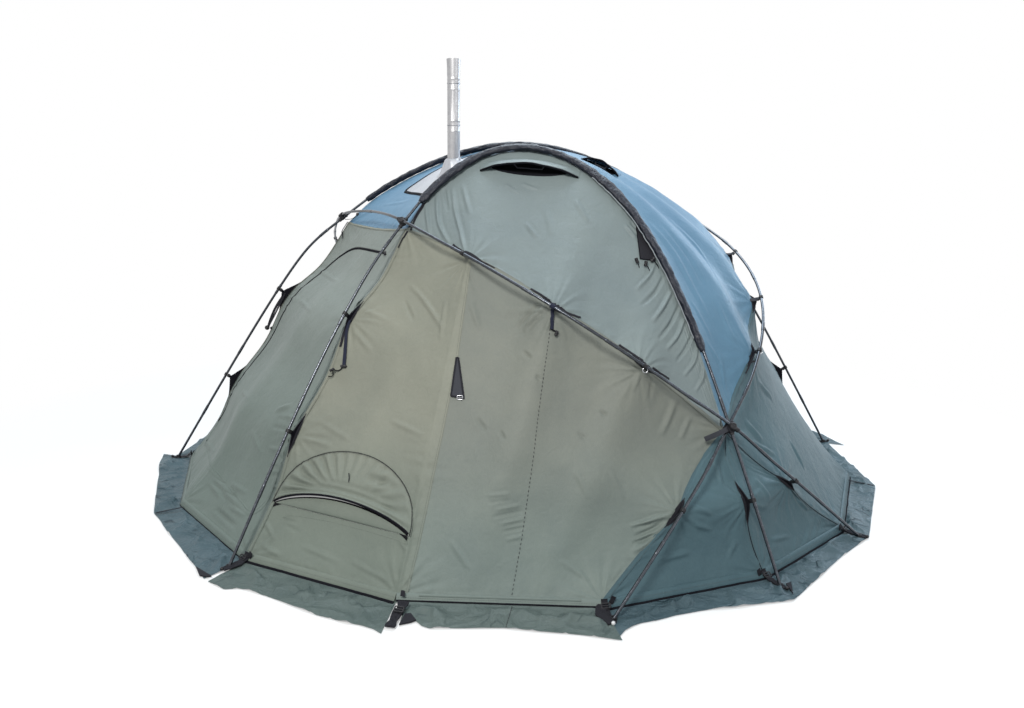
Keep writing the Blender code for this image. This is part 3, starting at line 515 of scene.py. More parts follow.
class Bits:
    # many small shapes gathered into one mesh
    def __init__(self):
        self.verts, self.faces, self.uvs, self.count = [], [], [], 0

    def add(self, verts, faces, uvs=None):
        verts = np.asarray(verts, float).reshape(-1, 3)
        self.verts.append(verts)
        self.faces += [tuple(int(k) + self.count for k in f) for f in faces]
        self.uvs.append(np.zeros((len(verts), 2)) if uvs is None else np.asarray(uvs, float).reshape(-1, 2))
        self.count += len(verts)

    def make(self, name, look, body="tent", angle=40):
        piece = linkMesh(name, np.concatenate(self.verts), self.faces, looks[look], body,
                         uvs=np.concatenate(self.uvs))
        piece.data.set_sharp_from_angle(angle=math.radians(angle))
        return piece

    def pair(self, name, look, body="tent", angle=40):
        # the piece of the front half, and the same turned for the rear
        sides = ("tent", "tent") if body == "tent" else (body + "_front", body + "_rear")
        piece = self.make(name + "_front", look, sides[0], angle)
        return piece, turnedCopy(piece, name + "_rear", sides[1])


def sweep(bits, path, ups, section, caps=True, closed=False):
    # section: offsets (sideways, outwards) counter-clockwise, one outline or one for each station
    path = np.asarray(path, float)
    section = np.asarray(section, float)
    count = len(path)
    if closed:
        tangent = units(np.roll(path, -1, 0) - np.roll(path, 1, 0))
    else:
        tangent = tangents(path)
    ups = np.broadcast_to(np.asarray(ups, float), path.shape)
    side = units(np.cross(tangent, ups))
    up = np.cross(side, tangent)
    if section.ndim == 2:
        section = np.broadcast_to(section, (count,) + section.shape)
    ring = path[:, None] + side[:, None] * section[..., 0:1] + up[:, None] * section[..., 1:2]
    around = section.shape[1]
    faces = []
    for i in range(count if closed else count - 1):
        n = (i + 1) % count
        for k in range(around):
            m = (k + 1) % around
            faces.append((i * around + k, n * around + k, n * around + m, i * around + m))
    if caps and not closed:
        faces += [tuple(range(around)), tuple(range(count * around - 1, (count - 1) * around - 1, -1))]
    uvs = np.stack(np.broadcast_arrays(travelled(section[0])[None, :], travelled(path)[:, None]), -1)
    bits.add(ring, faces, uvs)


def strip(name, look, path, ups, section, body="tent", closed=False):
    # one swept piece, for both halves
    bits = Bits()
    sweep(bits, path, ups, section, closed=closed)
    bits.pair(name, look, body)


def barSection(half, low, high, top=1.0):
    # four-cornered section, narrowed at its top by a share
    return np.array([[-half, low], [half, low], [half * top, high], [-half * top, high]])


def ringSection(radius, sides=14, wide=1.0):
    angles = np.arange(sides) * 2 * math.pi / sides
    return np.stack([np.cos(angles) * radius * wide, np.sin(angles) * radius], -1)


def tapeSection(width, height, low=0.0):
    # flat strip with a slightly crowned top
    half = width / 2
    return np.array([[-half, low], [half, low], [half, low + height * 0.7], [half * 0.55, low + height],
                     [0.0, low + height * 1.08], [-half * 0.55, low + height], [-half, low + height * 0.7]])


def spread(path, step):
    # the same line with evenly spaced points
    path = np.asarray(path, float)
    lengths = travelled(path)
    stations = np.linspace(0, lengths[-1], max(2, int(round(lengths[-1] / step)) + 1))
    return np.stack([np.interp(stations, lengths, path[:, k]) for k in range(path.shape[1])], -1)


def lathe(bits, centre, axis, profile, sides=24):
    # profile: (radius, distance along the axis), the solid's skin from its low end to its high end
    axis = unit(np.asarray(axis, float))
    side = unit(np.cross(axis, [0.3, 0.9, 0.17]))
    other = np.cross(axis, side)
    angles = np.arange(sides) * 2 * math.pi / sides
    verts = [centre + axis * z + r * (math.cos(a) * side + math.sin(a) * other) for r, z in profile
             for a in angles]
    faces = ringFaces(len(profile) - 1, sides)
    faces += [tuple(range(sides - 1, -1, -1)), tuple(range((len(profile) - 1) * sides, len(profile) * sides))]
    bits.add(verts, faces)


def catmull(values, count):
    n = len(values)
    t = np.linspace(0, n - 1, count)
    i = np.minimum(t.astype(int), n - 2)
    f = (t - i).reshape(-1, *[1] * (values.ndim - 1))
    ends = np.concatenate([2 * values[:1] - values[1:2], values, 2 * values[-1:] - values[-2:-1]])
    a, b, c, d = ends[i], ends[i + 1], ends[i + 2], ends[i + 3]
    return 0.5 * (2 * b + (c - a) * f + (2 * a - 5 * b + 4 * c - d) * f ** 2
                  + (3 * b - a - 3 * c + d) * f ** 3)


def refine(grid, step):
    tall = np.linalg.norm(np.diff(grid, axis=0), axis=2).sum(0).max()
    wide = np.linalg.norm(np.diff(grid, axis=1), axis=2).sum(1).max()
    rows = catmull(grid, max(4, int(tall / step)) + 1)
    return np.moveaxis(catmull(np.moveaxis(rows, 1, 0), max(4, int(wide / step)) + 1), 0, 1)


def fineLine(line, step=0.010):
    line = np.array(line)
    length = np.linalg.norm(np.diff(line, axis=0), axis=1).sum()
    return catmull(line, int(length / step) + 2)


def gridNormals(grid):
    return units(np.cross(np.gradient(grid, axis=1), np.gradient(grid, axis=0)))


def gridFaces(rows, columns):
    a = (np.arange(rows - 1)[:, None] * columns + np.arange(columns - 1)[None]).ravel()
    return np.stack([a, a + 1, a + columns + 1, a + columns], -1)


def ringFaces(rows, sides):
    return [(j * sides + k, j * sides + (k + 1) % sides, (j + 1) * sides + (k + 1) % sides, (j + 1) * sides + k)
            for j in range(rows) for k in range(sides)]


def gridLengths(grid):
    # distance of each point from the first column and from the first row
    across = np.concatenate([np.zeros((grid.shape[0], 1)),
                             np.cumsum(np.linalg.norm(np.diff(grid, axis=1), axis=2), axis=1)], axis=1)
    up = np.concatenate([np.zeros((1, grid.shape[1])),
                         np.cumsum(np.linalg.norm(np.diff(grid, axis=0), axis=2), axis=0)], axis=0)
    return across, up


def gridTree(grid):
    return BVHTree.FromPolygons([Vector(p) for p in grid.reshape(-1, 3)],
                                gridFaces(*grid.shape[:2]).tolist())


def ripple(points, scale, seed):
    shift = Vector((seed * 7.13, seed * 3.71, seed * 5.37))
    return np.array([noise.noise(Vector(p) * scale + shift)
                     for p in points.reshape(-1, 3)]).reshape(points.shape[:-1])


def smoothStep(value, low, high):
    t = np.clip((value - low) / (high - low), 0, 1)
    return t * t * (3 - 2 * t)


def segmentDistance(points, line):
    # distance from each point to a polyline, and the share of its length at the nearest place
    best = np.full(points.shape[:-1], 9.0)
    place = np.zeros(points.shape[:-1])
    lengths = travelled(line)
    for k, (a, b) in enumerate(zip(line, line[1:])):
        run = b - a
        t = np.clip(((points - a) @ run) / max(run @ run, 1e-12), 0, 1)
        gap = np.linalg.norm(points - a - t[..., None] * run, axis=-1)
        closer = gap < best
        best = np.where(closer, gap, best)
        place = np.where(closer, (lengths[k] + t * (lengths[k + 1] - lengths[k])) / lengths[-1], place)
    return best, place


# Materials

class Tree:
    def __init__(self, tree):
        self.tree = tree

    def feed(self, node, **inputs):
        # values or sockets by the input's name, or by its number as _0, _1 and so on
        for key, value in inputs.items():
            socket = node.inputs[int(key[1:]) if key[0] == "_" else key.replace("_", " ")]
            if isinstance(value, bpy.types.NodeSocket):
                self.tree.links.new(value, socket)
            else:
                socket.default_value = value

    def add(self, kind, settings=None, **inputs):
        node = self.tree.nodes.new(kind)
        for key, value in (settings or {}).items():
            setattr(node, key, value)
        self.feed(node, **inputs)
        return node

    def noise(self, place, **inputs):
        return self.add("ShaderNodeTexNoise", Vector=place, **inputs).outputs["Fac"]

    def math(self, operation, *values):
        inputs = {"_%d" % k: value for k, value in enumerate(values)}
        return self.add("ShaderNodeMath", {"operation": operation}, **inputs).outputs[0]

    def span(self, value, settings=None, **inputs):
        return self.add("ShaderNodeMapRange", settings, Value=value, **inputs).outputs[0]

    def blend(self, kind, share, first, second):
        return self.add("ShaderNodeMix", {"data_type": "RGBA", "blend_type": kind}, _0=share, _6=first,
                        _7=second).outputs[2]

    def bump(self, height, distance, strength, settings=None, **inputs):
        return self.add("ShaderNodeBump", settings, Height=height, Distance=distance, Strength=strength,
                        **inputs).outputs[0]


def nodeGroup(name, values):
    # one input for each value; every group gives a colour, a roughness and a normal
    group = bpy.data.node_groups.new(name, "ShaderNodeTree")
    for label, value in values.items():
        kind = "NodeSocketColor" if isinstance(value, tuple) else "NodeSocketFloat"
        group.interface.new_socket(label, in_out="INPUT", socket_type=kind).default_value = value
    for label, kind in (("Colour", "Color"), ("Roughness", "Float"), ("Normal", "Vector")):
        group.interface.new_socket(label, in_out="OUTPUT", socket_type="NodeSocket" + kind)
    t = Tree(group)
    place = t.add("ShaderNodeTexCoord").outputs["Object"]
    return group, t, t.add("NodeGroupInput").outputs, t.add("NodeGroupOutput"), place


def makeClothGroup():
    # mottled colour, plain weave and soft crumple of a coated cloth
    group, t, given, result, place = nodeGroup("coatedCloth", {
        "Colour": (0.25, 0.26, 0.23, 1), "Shade": (0.2, 0.21, 0.19, 1), "Mottle": 3.0, "Thread": 900.0,
        "Crumple": 18.0, "Crumple depth": 0.002, "Gloss": 0.5, "Gloss spread": 0.12,
        "Foot tint": (1, 1, 1, 1), "Tint top": 0.7, "Creased": 0.0})
    weaveAt = t.add("ShaderNodeUVMap", {"uv_map": "cloth"}).outputs[0]
    broad = t.noise(place, Scale=given["Mottle"], Detail=5.0, Roughness=0.6, Distortion=0.4)
    worn = t.noise(place, Scale=75.0, Detail=6.0, Roughness=0.7)
    mottled = t.span(t.math("MULTIPLY_ADD", worn, 0.35, broad), From_Min=0.42, From_Max=0.95)
    colour = t.blend("MIX", mottled, given["Colour"], given["Shade"])
    threads = [t.add("ShaderNodeTexWave", {"bands_direction": way}, Vector=weaveAt, Scale=given["Thread"],
                     Distortion=0.0).outputs["Fac"] for way in "XY"]
    weave = t.math("MAXIMUM", *threads)
    colour = t.blend("MULTIPLY", 0.18, colour, weave)
    crumple = t.noise(place, Scale=given["Crumple"], Detail=4.0, Roughness=0.55, Distortion=1.2)
    fine = t.bump(weave, 0.00012, 0.6)
    soft = t.bump(crumple, given["Crumple depth"], 1.0, Normal=fine)
    # painted shade: the colour is darkened and tinted lower down, fading out at the look's top height
    height = t.add("ShaderNodeSeparateXYZ", Vector=place).outputs["Z"]
    foot = t.span(height, {"interpolation_type": "SMOOTHSTEP"}, From_Min=0.10, From_Max=given["Tint top"],
                  To_Min=1.0, To_Max=0.0)
    colour = t.blend("MULTIPLY", foot, colour, given["Foot tint"])
    # short creases, gathered in patches: their colour is darkened as painted shade, and they dent the relief
    wander = t.noise(place, Scale=11.0, Detail=1.0, Roughness=0.4, Distortion=0.5)
    apart = t.math("ABSOLUTE", t.math("SUBTRACT", wander, 0.5))
    ridge = t.span(apart, From_Min=0.0, From_Max=0.045, To_Min=1.0, To_Max=0.0)
    where = t.span(t.noise(place, Scale=7.0, Detail=1.0), From_Min=0.52, From_Max=0.62)
    paintedCreaseShade = t.math("MULTIPLY", t.math("MULTIPLY", ridge, where), given["Creased"])
    t.feed(result, Colour=t.blend("MULTIPLY", paintedCreaseShade, colour, (0.22, 0.30, 0.34, 1)),
           Roughness=t.math("MULTIPLY_ADD", worn, given["Gloss spread"], given["Gloss"]),
           Normal=t.bump(paintedCreaseShade, 0.003, 1.0, {"invert": True}, Normal=soft))
    return group


def makeWebbingGroup():
    # ribbed narrow weave: cross ribs along the strap, and dust
    group, t, given, result, place = nodeGroup("ribbedWebbing",
                                               {"Colour": (0.02, 0.02, 0.024, 1), "Ribs": 260.0})
    where = t.add("ShaderNodeUVMap", {"uv_map": "cloth"}).outputs[0]
    ribs = t.add("ShaderNodeTexWave", {"bands_direction": "Y"}, Vector=where, Scale=given["Ribs"],
                 Distortion=1.0, Detail=1.0).outputs["Fac"]
    dust = t.noise(place, Scale=60.0, Detail=5.0, Roughness=0.7)
    t.feed(result, Colour=t.blend("ADD", dust, given["Colour"], (0.014, 0.014, 0.015, 1)),
           Roughness=t.span(dust, To_Min=0.62, To_Max=0.92), Normal=t.bump(ribs, 0.0004, 0.8))
    return group


def makeHardGroup():
    # moulded or drawn surface: handling marks in the gloss and a faint grain in the relief
    group, t, given, result, place = nodeGroup("hardSurface", {
        "Colour": (0.02, 0.02, 0.02, 1), "Worn": (0.05, 0.05, 0.055, 1), "Gloss": 0.3, "Gloss spread": 0.2,
        "Grain": 900.0, "Depth": 0.00005})
    marks = t.noise(place, Scale=45.0, Detail=6.0, Roughness=0.75, Distortion=0.6)
    grain = t.noise(place, Scale=given["Grain"], Detail=2.0)
    worn = t.span(marks, From_Min=0.45, From_Max=0.8)
    t.feed(result, Colour=t.blend("MIX", worn, given["Colour"], given["Worn"]),
           Roughness=t.math("MULTIPLY_ADD", marks, given["Gloss spread"], given["Gloss"]),
           Normal=t.bump(grain, given["Depth"], 0.7))
    return group


clothGroup, webbingGroup, hardGroup = makeClothGroup(), makeWebbingGroup(), makeHardGroup()


def surface(name, group, values, **shading):
    material = bpy.data.materials.new(name)
    material.use_nodes = True
    t = Tree(material.node_tree)
    look = t.add("ShaderNodeGroup", {"node_tree": group})
    for key, value in values.items():
        look.inputs[key].default_value = (*value, 1.0) if isinstance(value, tuple) else value
    t.feed(material.node_tree.nodes["Principled BSDF"], Base_Color=look.outputs["Colour"],
           Roughness=look.outputs["Roughness"], Normal=look.outputs["Normal"], **shading)
    return material


coated = dict(Sheen_Weight=0.06, Sheen_Roughness=0.4)
# one sage canvas in a copy for each panel, each tinted and darkened to the light on that panel: painted light
# and shade
looks = {
    "wall": surface("canvas_sage_wall", clothGroup, {
        "Colour": (0.248, 0.252, 0.204), "Shade": (0.196, 0.204, 0.168), "Gloss": 0.55,
        "Crumple depth": 0.0024,
        "Foot tint": (0.70, 0.80, 0.84)}, **coated, Specular_IOR_Level=0.22),
    "door": surface("canvas_sage_door", clothGroup, {
        "Colour": (0.230, 0.254, 0.234), "Shade": (0.182, 0.207, 0.190), "Gloss": 0.50,
        "Crumple depth": 0.0030,
        "Foot tint": (0.60, 0.68, 0.66), "Tint top": 1.45}, **coated, Specular_IOR_Level=0.25),
    "front": surface("canvas_sage_front", clothGroup, {
        "Colour": (0.198, 0.208, 0.178), "Shade": (0.156, 0.170, 0.152), "Gloss": 0.52,
        "Crumple depth": 0.0024,
        "Foot tint": (0.86, 0.99, 1.04)}, **coated, Specular_IOR_Level=0.22),
    "upper": surface("canvas_sage_upper", clothGroup, {
        "Colour": (0.200, 0.240, 0.238), "Shade": (0.164, 0.202, 0.208), "Gloss": 0.46,
        "Crumple depth": 0.0028}, **coated, Specular_IOR_Level=0.25),
    # painted sky reflection: the sage canvas given a blue colour
    "roof": surface("canvas_sage_roof", clothGroup, {
        "Colour": (0.128, 0.242, 0.350), "Shade": (0.098, 0.198, 0.300), "Gloss": 0.42,
        "Crumple depth": 0.0026,
        "Foot tint": (0.72, 0.80, 0.76), "Tint top": 1.55},
        Sheen_Weight=0.06, Sheen_Roughness=0.35, Specular_IOR_Level=0.28),
    # painted shade: the sage canvas darkened to a dark teal
    "side": surface("canvas_sage_side", clothGroup, {
        "Colour": (0.086, 0.147, 0.168), "Shade": (0.061, 0.112, 0.134), "Gloss": 0.44,
        "Crumple depth": 0.0032,
        "Foot tint": (0.85, 0.85, 0.85), "Tint top": 0.5}, **coated, Specular_IOR_Level=0.15),
    "skirt": surface("skirt_green_coated", clothGroup, {
        "Colour": (0.120, 0.150, 0.140), "Shade": (0.070, 0.096, 0.092), "Mottle": 4.0, "Crumple": 9.0,
        "Crumple depth": 0.014, "Gloss": 0.30, "Gloss spread": 0.2, "Creased": 0.45},
        Specular_IOR_Level=0.15),
    # painted shade: a darker, bluer copy of the skirt cloth for the runs turned away from the key light
    "skirtShaded": surface("skirt_blue_green_coated", clothGroup, {
        "Colour": (0.082, 0.124, 0.142), "Shade": (0.042, 0.070, 0.082), "Mottle": 4.0, "Crumple": 11.0,
        "Crumple depth": 0.016, "Gloss": 0.30, "Gloss spread": 0.2, "Creased": 0.95},
        Specular_IOR_Level=0.13),
    "sleeve": surface("sleeve_black_coated", clothGroup, {
        "Colour": (0.010, 0.013, 0.024), "Shade": (0.005, 0.007, 0.014), "Crumple": 42.0,
        "Crumple depth": 0.007, "Gloss": 0.32, "Gloss spread": 0.2}, Specular_IOR_Level=0.32),
    "binding": surface("binding_black_cloth", clothGroup, {
        "Colour": (0.010, 0.010, 0.013), "Shade": (0.005, 0.005, 0.008), "Crumple": 60.0,
        "Crumple depth": 0.0015, "Gloss": 0.75}, Specular_IOR_Level=0.06),
    "mesh": surface("vent_mesh_black", clothGroup, {
        "Colour": (0.010, 0.010, 0.012), "Shade": (0.004, 0.004, 0.005), "Thread": 260.0, "Gloss": 0.7},
        Specular_IOR_Level=0.1),
    "heat": surface("heat_cloth_silver_weave", clothGroup, {
        "Colour": (0.60, 0.62, 0.66), "Shade": (0.42, 0.44, 0.48), "Thread": 420.0, "Crumple": 45.0,
        "Crumple depth": 0.003, "Gloss": 0.26, "Gloss spread": 0.2}, Metallic=0.55),
    "trim": surface("trim_grey_piping", clothGroup, {
        "Colour": (0.30, 0.33, 0.35), "Shade": (0.24, 0.27, 0.29), "Crumple": 60.0, "Gloss": 0.4}),
    "webbing": surface("webbing_black_ribbed", webbingGroup, {"Colour": (0.009, 0.009, 0.013)},
                       Specular_IOR_Level=0.18),
    "webbingGrey": surface("webbing_charcoal_ribbed", webbingGroup, {"Colour": (0.034, 0.036, 0.044)},
                           Specular_IOR_Level=0.2),
    "webbingBlue": surface("webbing_navy_ribbed", webbingGroup, {"Colour": (0.010, 0.013, 0.030)},
                           Specular_IOR_Level=0.2),
    "pole": surface("pole_black_drawn", hardGroup, {
        "Colour": (0.045, 0.050, 0.060), "Worn": (0.090, 0.100, 0.116), "Gloss": 0.20, "Gloss spread": 0.12},
        Metallic=1.0, Coat_Weight=0.3, Coat_Roughness=0.10),
    "plastic": surface("plastic_black_moulded", hardGroup, {
        "Colour": (0.010, 0.010, 0.012), "Worn": (0.022, 0.022, 0.025), "Gloss": 0.36, "Gloss spread": 0.25,
        "Depth": 0.0002}, Specular_IOR_Level=0.3),
    "ball": surface("plastic_pale_moulded", hardGroup, {
        "Colour": (0.62, 0.62, 0.62), "Worn": (0.45, 0.45, 0.46), "Gloss": 0.25}),
    "metal": surface("buckle_zinc", hardGroup, {
        "Colour": (0.40, 0.41, 0.43), "Worn": (0.28, 0.29, 0.31), "Gloss": 0.2, "Gloss spread": 0.25},
        Metallic=0.9),
    "steel": surface("pipe_steel_rolled", hardGroup, {
        "Colour": (0.46, 0.46, 0.47), "Worn": (0.33, 0.33, 0.35), "Gloss": 0.24, "Gloss spread": 0.3,
        "Grain": 300.0}, Metallic=1.0),
    "thread": surface("thread_grey", webbingGroup, {"Colour": (0.07, 0.075, 0.07)}),
    "threadDark": surface("thread_black", webbingGroup, {"Colour": (0.010, 0.010, 0.012)})}


# The shell: fine grids through the CAD's own seam points, with drape, puckers and creases

clipSpots = {}
for key, stations in (("centre", centreClips), ("front", frontLeftClips + (frontRightClip,)),
                      ("right", (diagonalFootClip,) + diagonalClips)):
    for number, station in enumerate(stations):
        clipSpots[key, number] = (key, station)
clipSpots["left", 0] = ("left", poles["left"].length - diagonalFootClip)
for number, station in enumerate(sideClips):
    clipSpots["left", number + 1] = ("left", poles["left"].length - station)
clipSpots["centre", 2] = ("centre", poles["centre"].length - centreClips[0])
clipSpots["centre", 3] = ("centre", poles["centre"].length - centreClips[1])
anchorSpots = [below(poles[key], station, clipDrop) for key, station in clipSpots.values()]
anchorSpots += [seams["diagonalFront"][0], seams["diagonalFront"][-1], seams["leftLeg"][-1],
                seams["rightLeg"][-1]]
anchorSpots += list(corner.values())

baseGrids = panelGrids()
baseFine = {name: refine(grid, 0.03) for name, grid in baseGrids.items()}
baseTrees = {name: gridTree(grid) for name, grid in baseFine.items()}


def onPanel(name, x, y):
    hit = baseTrees[name].ray_cast(Vector(eye), Vector(pixelRay(x, y)))
    if hit[0] is not None:
        return np.array(hit[0])
    points = baseFine[name].reshape(-1, 3)
    return points[np.argmin(np.linalg.norm(pixelOf(points) - (x, y), axis=1))]


# creases seen in the photograph: height and half width in mm, then the pixels along each
creaseGain = {"roof_strip": 0.9}
creases = {
    "wall_door": [
        (4, 9, 272, 462, 283, 466), (-4, 9, 271, 474, 284, 478), (4, 9, 272, 484, 283, 488),
        (4, 10, 279, 415, 297, 418), (4, 10, 277, 436, 293, 440), (-4, 9, 276, 455, 290, 460),
        (5, 11, 212, 478, 228, 490), (-4, 10, 218, 492, 236, 504), (5, 11, 228, 505, 246, 516),
        (4, 12, 205, 440, 214, 452), (4, 12, 320, 270, 338, 282), (4, 12, 300, 300, 312, 312),
        (5, 14, 276, 410, 292, 405), (-4, 12, 273, 426, 290, 431), (5, 13, 268, 447, 286, 453),
        (4, 12, 266, 470, 283, 478), (5, 14, 209, 482, 221, 497), (5, 13, 225, 494, 241, 507),
        (-5, 14, 214, 508, 236, 527), (4, 12, 231, 483, 247, 493), (4, 10, 243, 391, 249, 399),
        (3, 16, 252, 430, 262, 455)],
    "wall_vent": [
        (4, 9, 283, 516, 300, 520), (-4, 9, 285, 525, 300, 532), (5, 9, 400, 541, 410, 552),
        (5, 14, 410, 285, 424, 300, 444, 330), (-4, 12, 404, 300, 414, 322), (4, 13, 446, 300, 440, 340),
        (3, 14, 318, 420, 350, 440), (3, 14, 390, 420, 425, 436), (4, 10, 260, 520, 275, 540),
        (3, 14, 300, 545, 340, 562), (3, 13, 350, 560, 385, 580), (4, 15, 303, 437, 331, 446),
        (4, 13, 300, 460, 318, 474), (4, 16, 354, 330, 372, 352), (3, 16, 360, 308, 392, 322),
        (3, 16, 437, 470, 426, 500), (4, 12, 262, 545, 281, 556)],
    "wall_front": [
        (6, 9, 630, 526, 652, 520), (-6, 9, 632, 544, 660, 533), (-4, 8, 487, 503, 512, 500),
        (-4, 8, 492, 517, 524, 511), (-4, 8, 502, 532, 526, 527), (4, 12, 556, 318, 566, 340),
        (5, 12, 640, 372, 632, 392), (-4, 11, 652, 376, 650, 400), (7, 11, 682, 392, 694, 403, 707, 415),
        (3, 14, 575, 470, 590, 500), (3, 14, 610, 470, 625, 500), (3, 13, 450, 540, 470, 570),
        (3, 13, 560, 560, 590, 580), (8, 14, 669, 530, 655, 542, 632, 552),
        (-7, 11, 664, 521, 652, 529, 634, 537), (7, 11, 671, 516, 655, 519, 640, 524),
        (5, 10, 662, 548, 646, 560), (4, 10, 487, 496, 510, 494), (4, 10, 495, 510, 522, 505),
        (4, 10, 500, 524, 526, 518), (3, 10, 505, 540, 524, 536), (10, 13, 546, 306, 531, 321, 524, 332),
        (-6, 11, 540, 303, 527, 315, 516, 330), (5, 12, 533, 306, 519, 322), (5, 11, 552, 316, 546, 331),
        (-5, 12, 523, 351, 531, 359), (-5, 11, 536, 375, 541, 381), (-4, 12, 476, 418, 486, 431),
        (-4, 10, 500, 431, 505, 440), (-4, 12, 578, 433, 586, 439), (-4, 12, 600, 410, 607, 416),
        (5, 12, 629, 367, 639, 371), (4, 15, 590, 330, 600, 350), (6, 18, 676, 398, 668, 420, 660, 436),
        (6, 14, 690, 417, 680, 440), (4, 16, 470, 300, 480, 330), (6, 12, 612, 590, 632, 573)],
    "wall_corner": [
        (5, 13, 688, 507, 700, 509, 713, 516), (4, 12, 694, 524, 712, 530),
        (5, 9, 796, 496, 801, 503, 808, 510), (5, 13, 715, 460, 722, 485), (4, 14, 755, 480, 770, 498),
        (4, 14, 660, 560, 690, 552), (4, 13, 770, 540, 790, 536), (4, 12, 736, 540, 728, 560)],
    "wall_side": [
        (6, 16, 745, 420, 762, 440), (5, 18, 757, 380, 772, 400), (6, 14, 750, 440, 775, 455),
        (5, 16, 790, 440, 805, 470)],
    "wall_upper": [
        (6, 12, 426, 203, 429, 240), (8, 13, 437, 192, 439, 222, 446, 249), (-6, 10, 444, 188, 448, 212),
        (7, 13, 452, 186, 456, 214, 466, 256), (5, 13, 462, 184, 470, 215), (5, 12, 525, 222, 537, 238),
        (6, 10, 625, 225, 636, 238), (-5, 9, 630, 222, 641, 232), (4, 10, 505, 184, 520, 194),
        (4, 10, 520, 183, 540, 190), (8, 10, 655, 262, 649, 276, 636, 290),
        (-7, 10, 664, 276, 655, 292, 641, 306), (9, 11, 672, 290, 662, 308, 652, 322),
        (-7, 10, 680, 304, 670, 324, 658, 340), (8, 10, 687, 317, 677, 336, 666, 350),
        (-6, 9, 694, 331, 686, 348, 676, 362), (7, 10, 701, 347, 694, 362, 684, 376),
        (6, 9, 707, 362, 703, 378, 695, 392), (4, 16, 575, 200, 588, 222), (3, 18, 545, 205, 552, 235)],
    "roof_strip": [
        (6, 16, 647, 220, 672, 250, 694, 290, 712, 325), (-5, 14, 660, 222, 686, 254, 706, 290),
        (5, 14, 668, 218, 700, 252, 722, 290), (5, 12, 690, 300, 712, 340), (6, 12, 706, 340, 726, 372),
        (5, 14, 716, 300, 735, 345), (4, 12, 384, 205, 410, 200), (5, 12, 620, 178, 640, 198),
        (5, 10, 720, 350, 728, 400)]}


def relief(name, grid, normal):
    across, up = gridLengths(grid)
    edge = np.minimum.reduce([across, across[:, -1:] - across, up, up[-1:] - up])
    lift = ripple(grid, 2.4, 1) * 0.007 + ripple(grid, 6.5, 2) * 0.0030
    lift += ripple(grid, 15.0, 5) * 0.0014
    lift += ripple(grid, 32.0, 3) * 0.0030 * np.exp(-edge / 0.035)
    # short puckers square to each seam, gathered in places
    gather = smoothStep(ripple(grid, 4.5, 8), -0.05, 0.35)
    for run, side in ((up, np.minimum(across, across[:, -1:] - across)),
                      (across, np.minimum(up, up[-1:] - up))):
        line = np.stack([run * 36, side * 5, np.full(run.shape, 3.0)], -1)
        lift += ripple(line, 1.0, 9) * 0.0085 * gather * np.exp(-side / 0.050) * smoothStep(side, 0.004, 0.02)
    flatAcross = units(np.gradient(grid, axis=1))
    flatUp = np.cross(normal, flatAcross)
    for number, spot in enumerate(anchorSpots):
        offset = grid - spot
        reach = np.linalg.norm(offset, axis=-1)
        if reach.min() > 0.12:
            continue
        angle = np.arctan2((offset * flatUp).sum(-1), (offset * flatAcross).sum(-1))
        fold = np.sin(angle * 13 + number * 1.7) * 0.6 + np.sin(angle * 23 + number) * 0.4
        lift += fold * 0.0042 * np.exp(-(reach / 0.15) ** 2) * smoothStep(reach, 0.006, 0.05)
    for height, width, *pixels in creases.get(name, ()):
        height, width = height / 1000, width / 1000
        line = np.array([onPanel(name, x, y) for x, y in zip(pixels[::2], pixels[1::2])])
        line = fineLine(line, 0.02) if len(line) > 2 else line
        gap, share = segmentDistance(grid, line)
        rise = np.sin(math.pi * share) ** 0.7 * (1 - 1.3 * (gap / width) ** 2) * np.exp(-(gap / width) ** 2)
        lift += creaseGain.get(name, 1.6) * height * rise
    return lift * smoothStep(edge, 0.001, 0.016)


def inside(points, outline):
    outline = np.asarray(outline)
    x, y = points[..., 0], points[..., 1]
    result = np.zeros(x.shape, bool)
    for (ax, ay), (bx, by) in zip(outline, np.roll(outline, -1, 0)):
        crosses = (ay > y) != (by > y)
        result ^= crosses & (x < (bx - ax) * (y - ay) / (by - ay if by != ay else 1e-12) + ax)
    return result


def snapTo(grid, normal, place, outline):
    # moves the cells' corners that are nearest to an outline onto it; returns the cells inside
    flat = place.flat(grid)
    centres = (flat[:-1, :-1] + flat[1:, :-1] + flat[:-1, 1:] + flat[1:, 1:]) / 4
    within = inside(centres, outline)
    touching = np.zeros(grid.shape[:2], int)
    known = np.zeros(grid.shape[:2], int)
    for j in (0, 1):
        for i in (0, 1):
            touching[j:grid.shape[0] - 1 + j, i:grid.shape[1] - 1 + i] += within
            known[j:grid.shape[0] - 1 + j, i:grid.shape[1] - 1 + i] += 1
    border = (touching > 0) & (touching < known)
    loop = np.vstack([outline, outline[:1]])
    for j, i in zip(*np.nonzero(border)):
        best, target = 9.0, None
        for a, b in zip(loop, loop[1:]):
            run = b - a
            t = np.clip(np.dot(flat[j, i] - a, run) / max(np.dot(run, run), 1e-12), 0, 1)
            spot = a + run * t
            gap = np.linalg.norm(flat[j, i] - spot)
            if gap < best:
                best, target = gap, spot
        shift = target - flat[j, i]
        move = place.along * shift[0] + place.up * shift[1]
        facing = np.dot(place.out, normal[j, i])
        grid[j, i] += move - place.out * (np.dot(move, normal[j, i]) / max(facing, 0.3))
    return within


def clothMesh(name, grid, cells, look, body, other=None):
    # other: a second look and the cells that have it
    across, up = gridLengths(grid)
    faces = gridFaces(*grid.shape[:2])[cells.ravel()]
    used = np.unique(faces)
    lookup = np.zeros(grid.shape[0] * grid.shape[1], int)
    lookup[used] = np.arange(len(used))
    uvs = np.stack([across, up], -1).reshape(-1, 2)[used]
    piece = linkMesh(name, grid.reshape(-1, 3)[used], lookup[faces], looks[look], body, uvs=uvs)
    if other:
        piece.data.materials.append(looks[other[0]])
        piece.data.polygons.foreach_set("material_index", other[1].ravel()[cells.ravel()].astype(int))
    return piece


def meshArea(piece):
    return sum(p.area for p in piece.data.polygons)


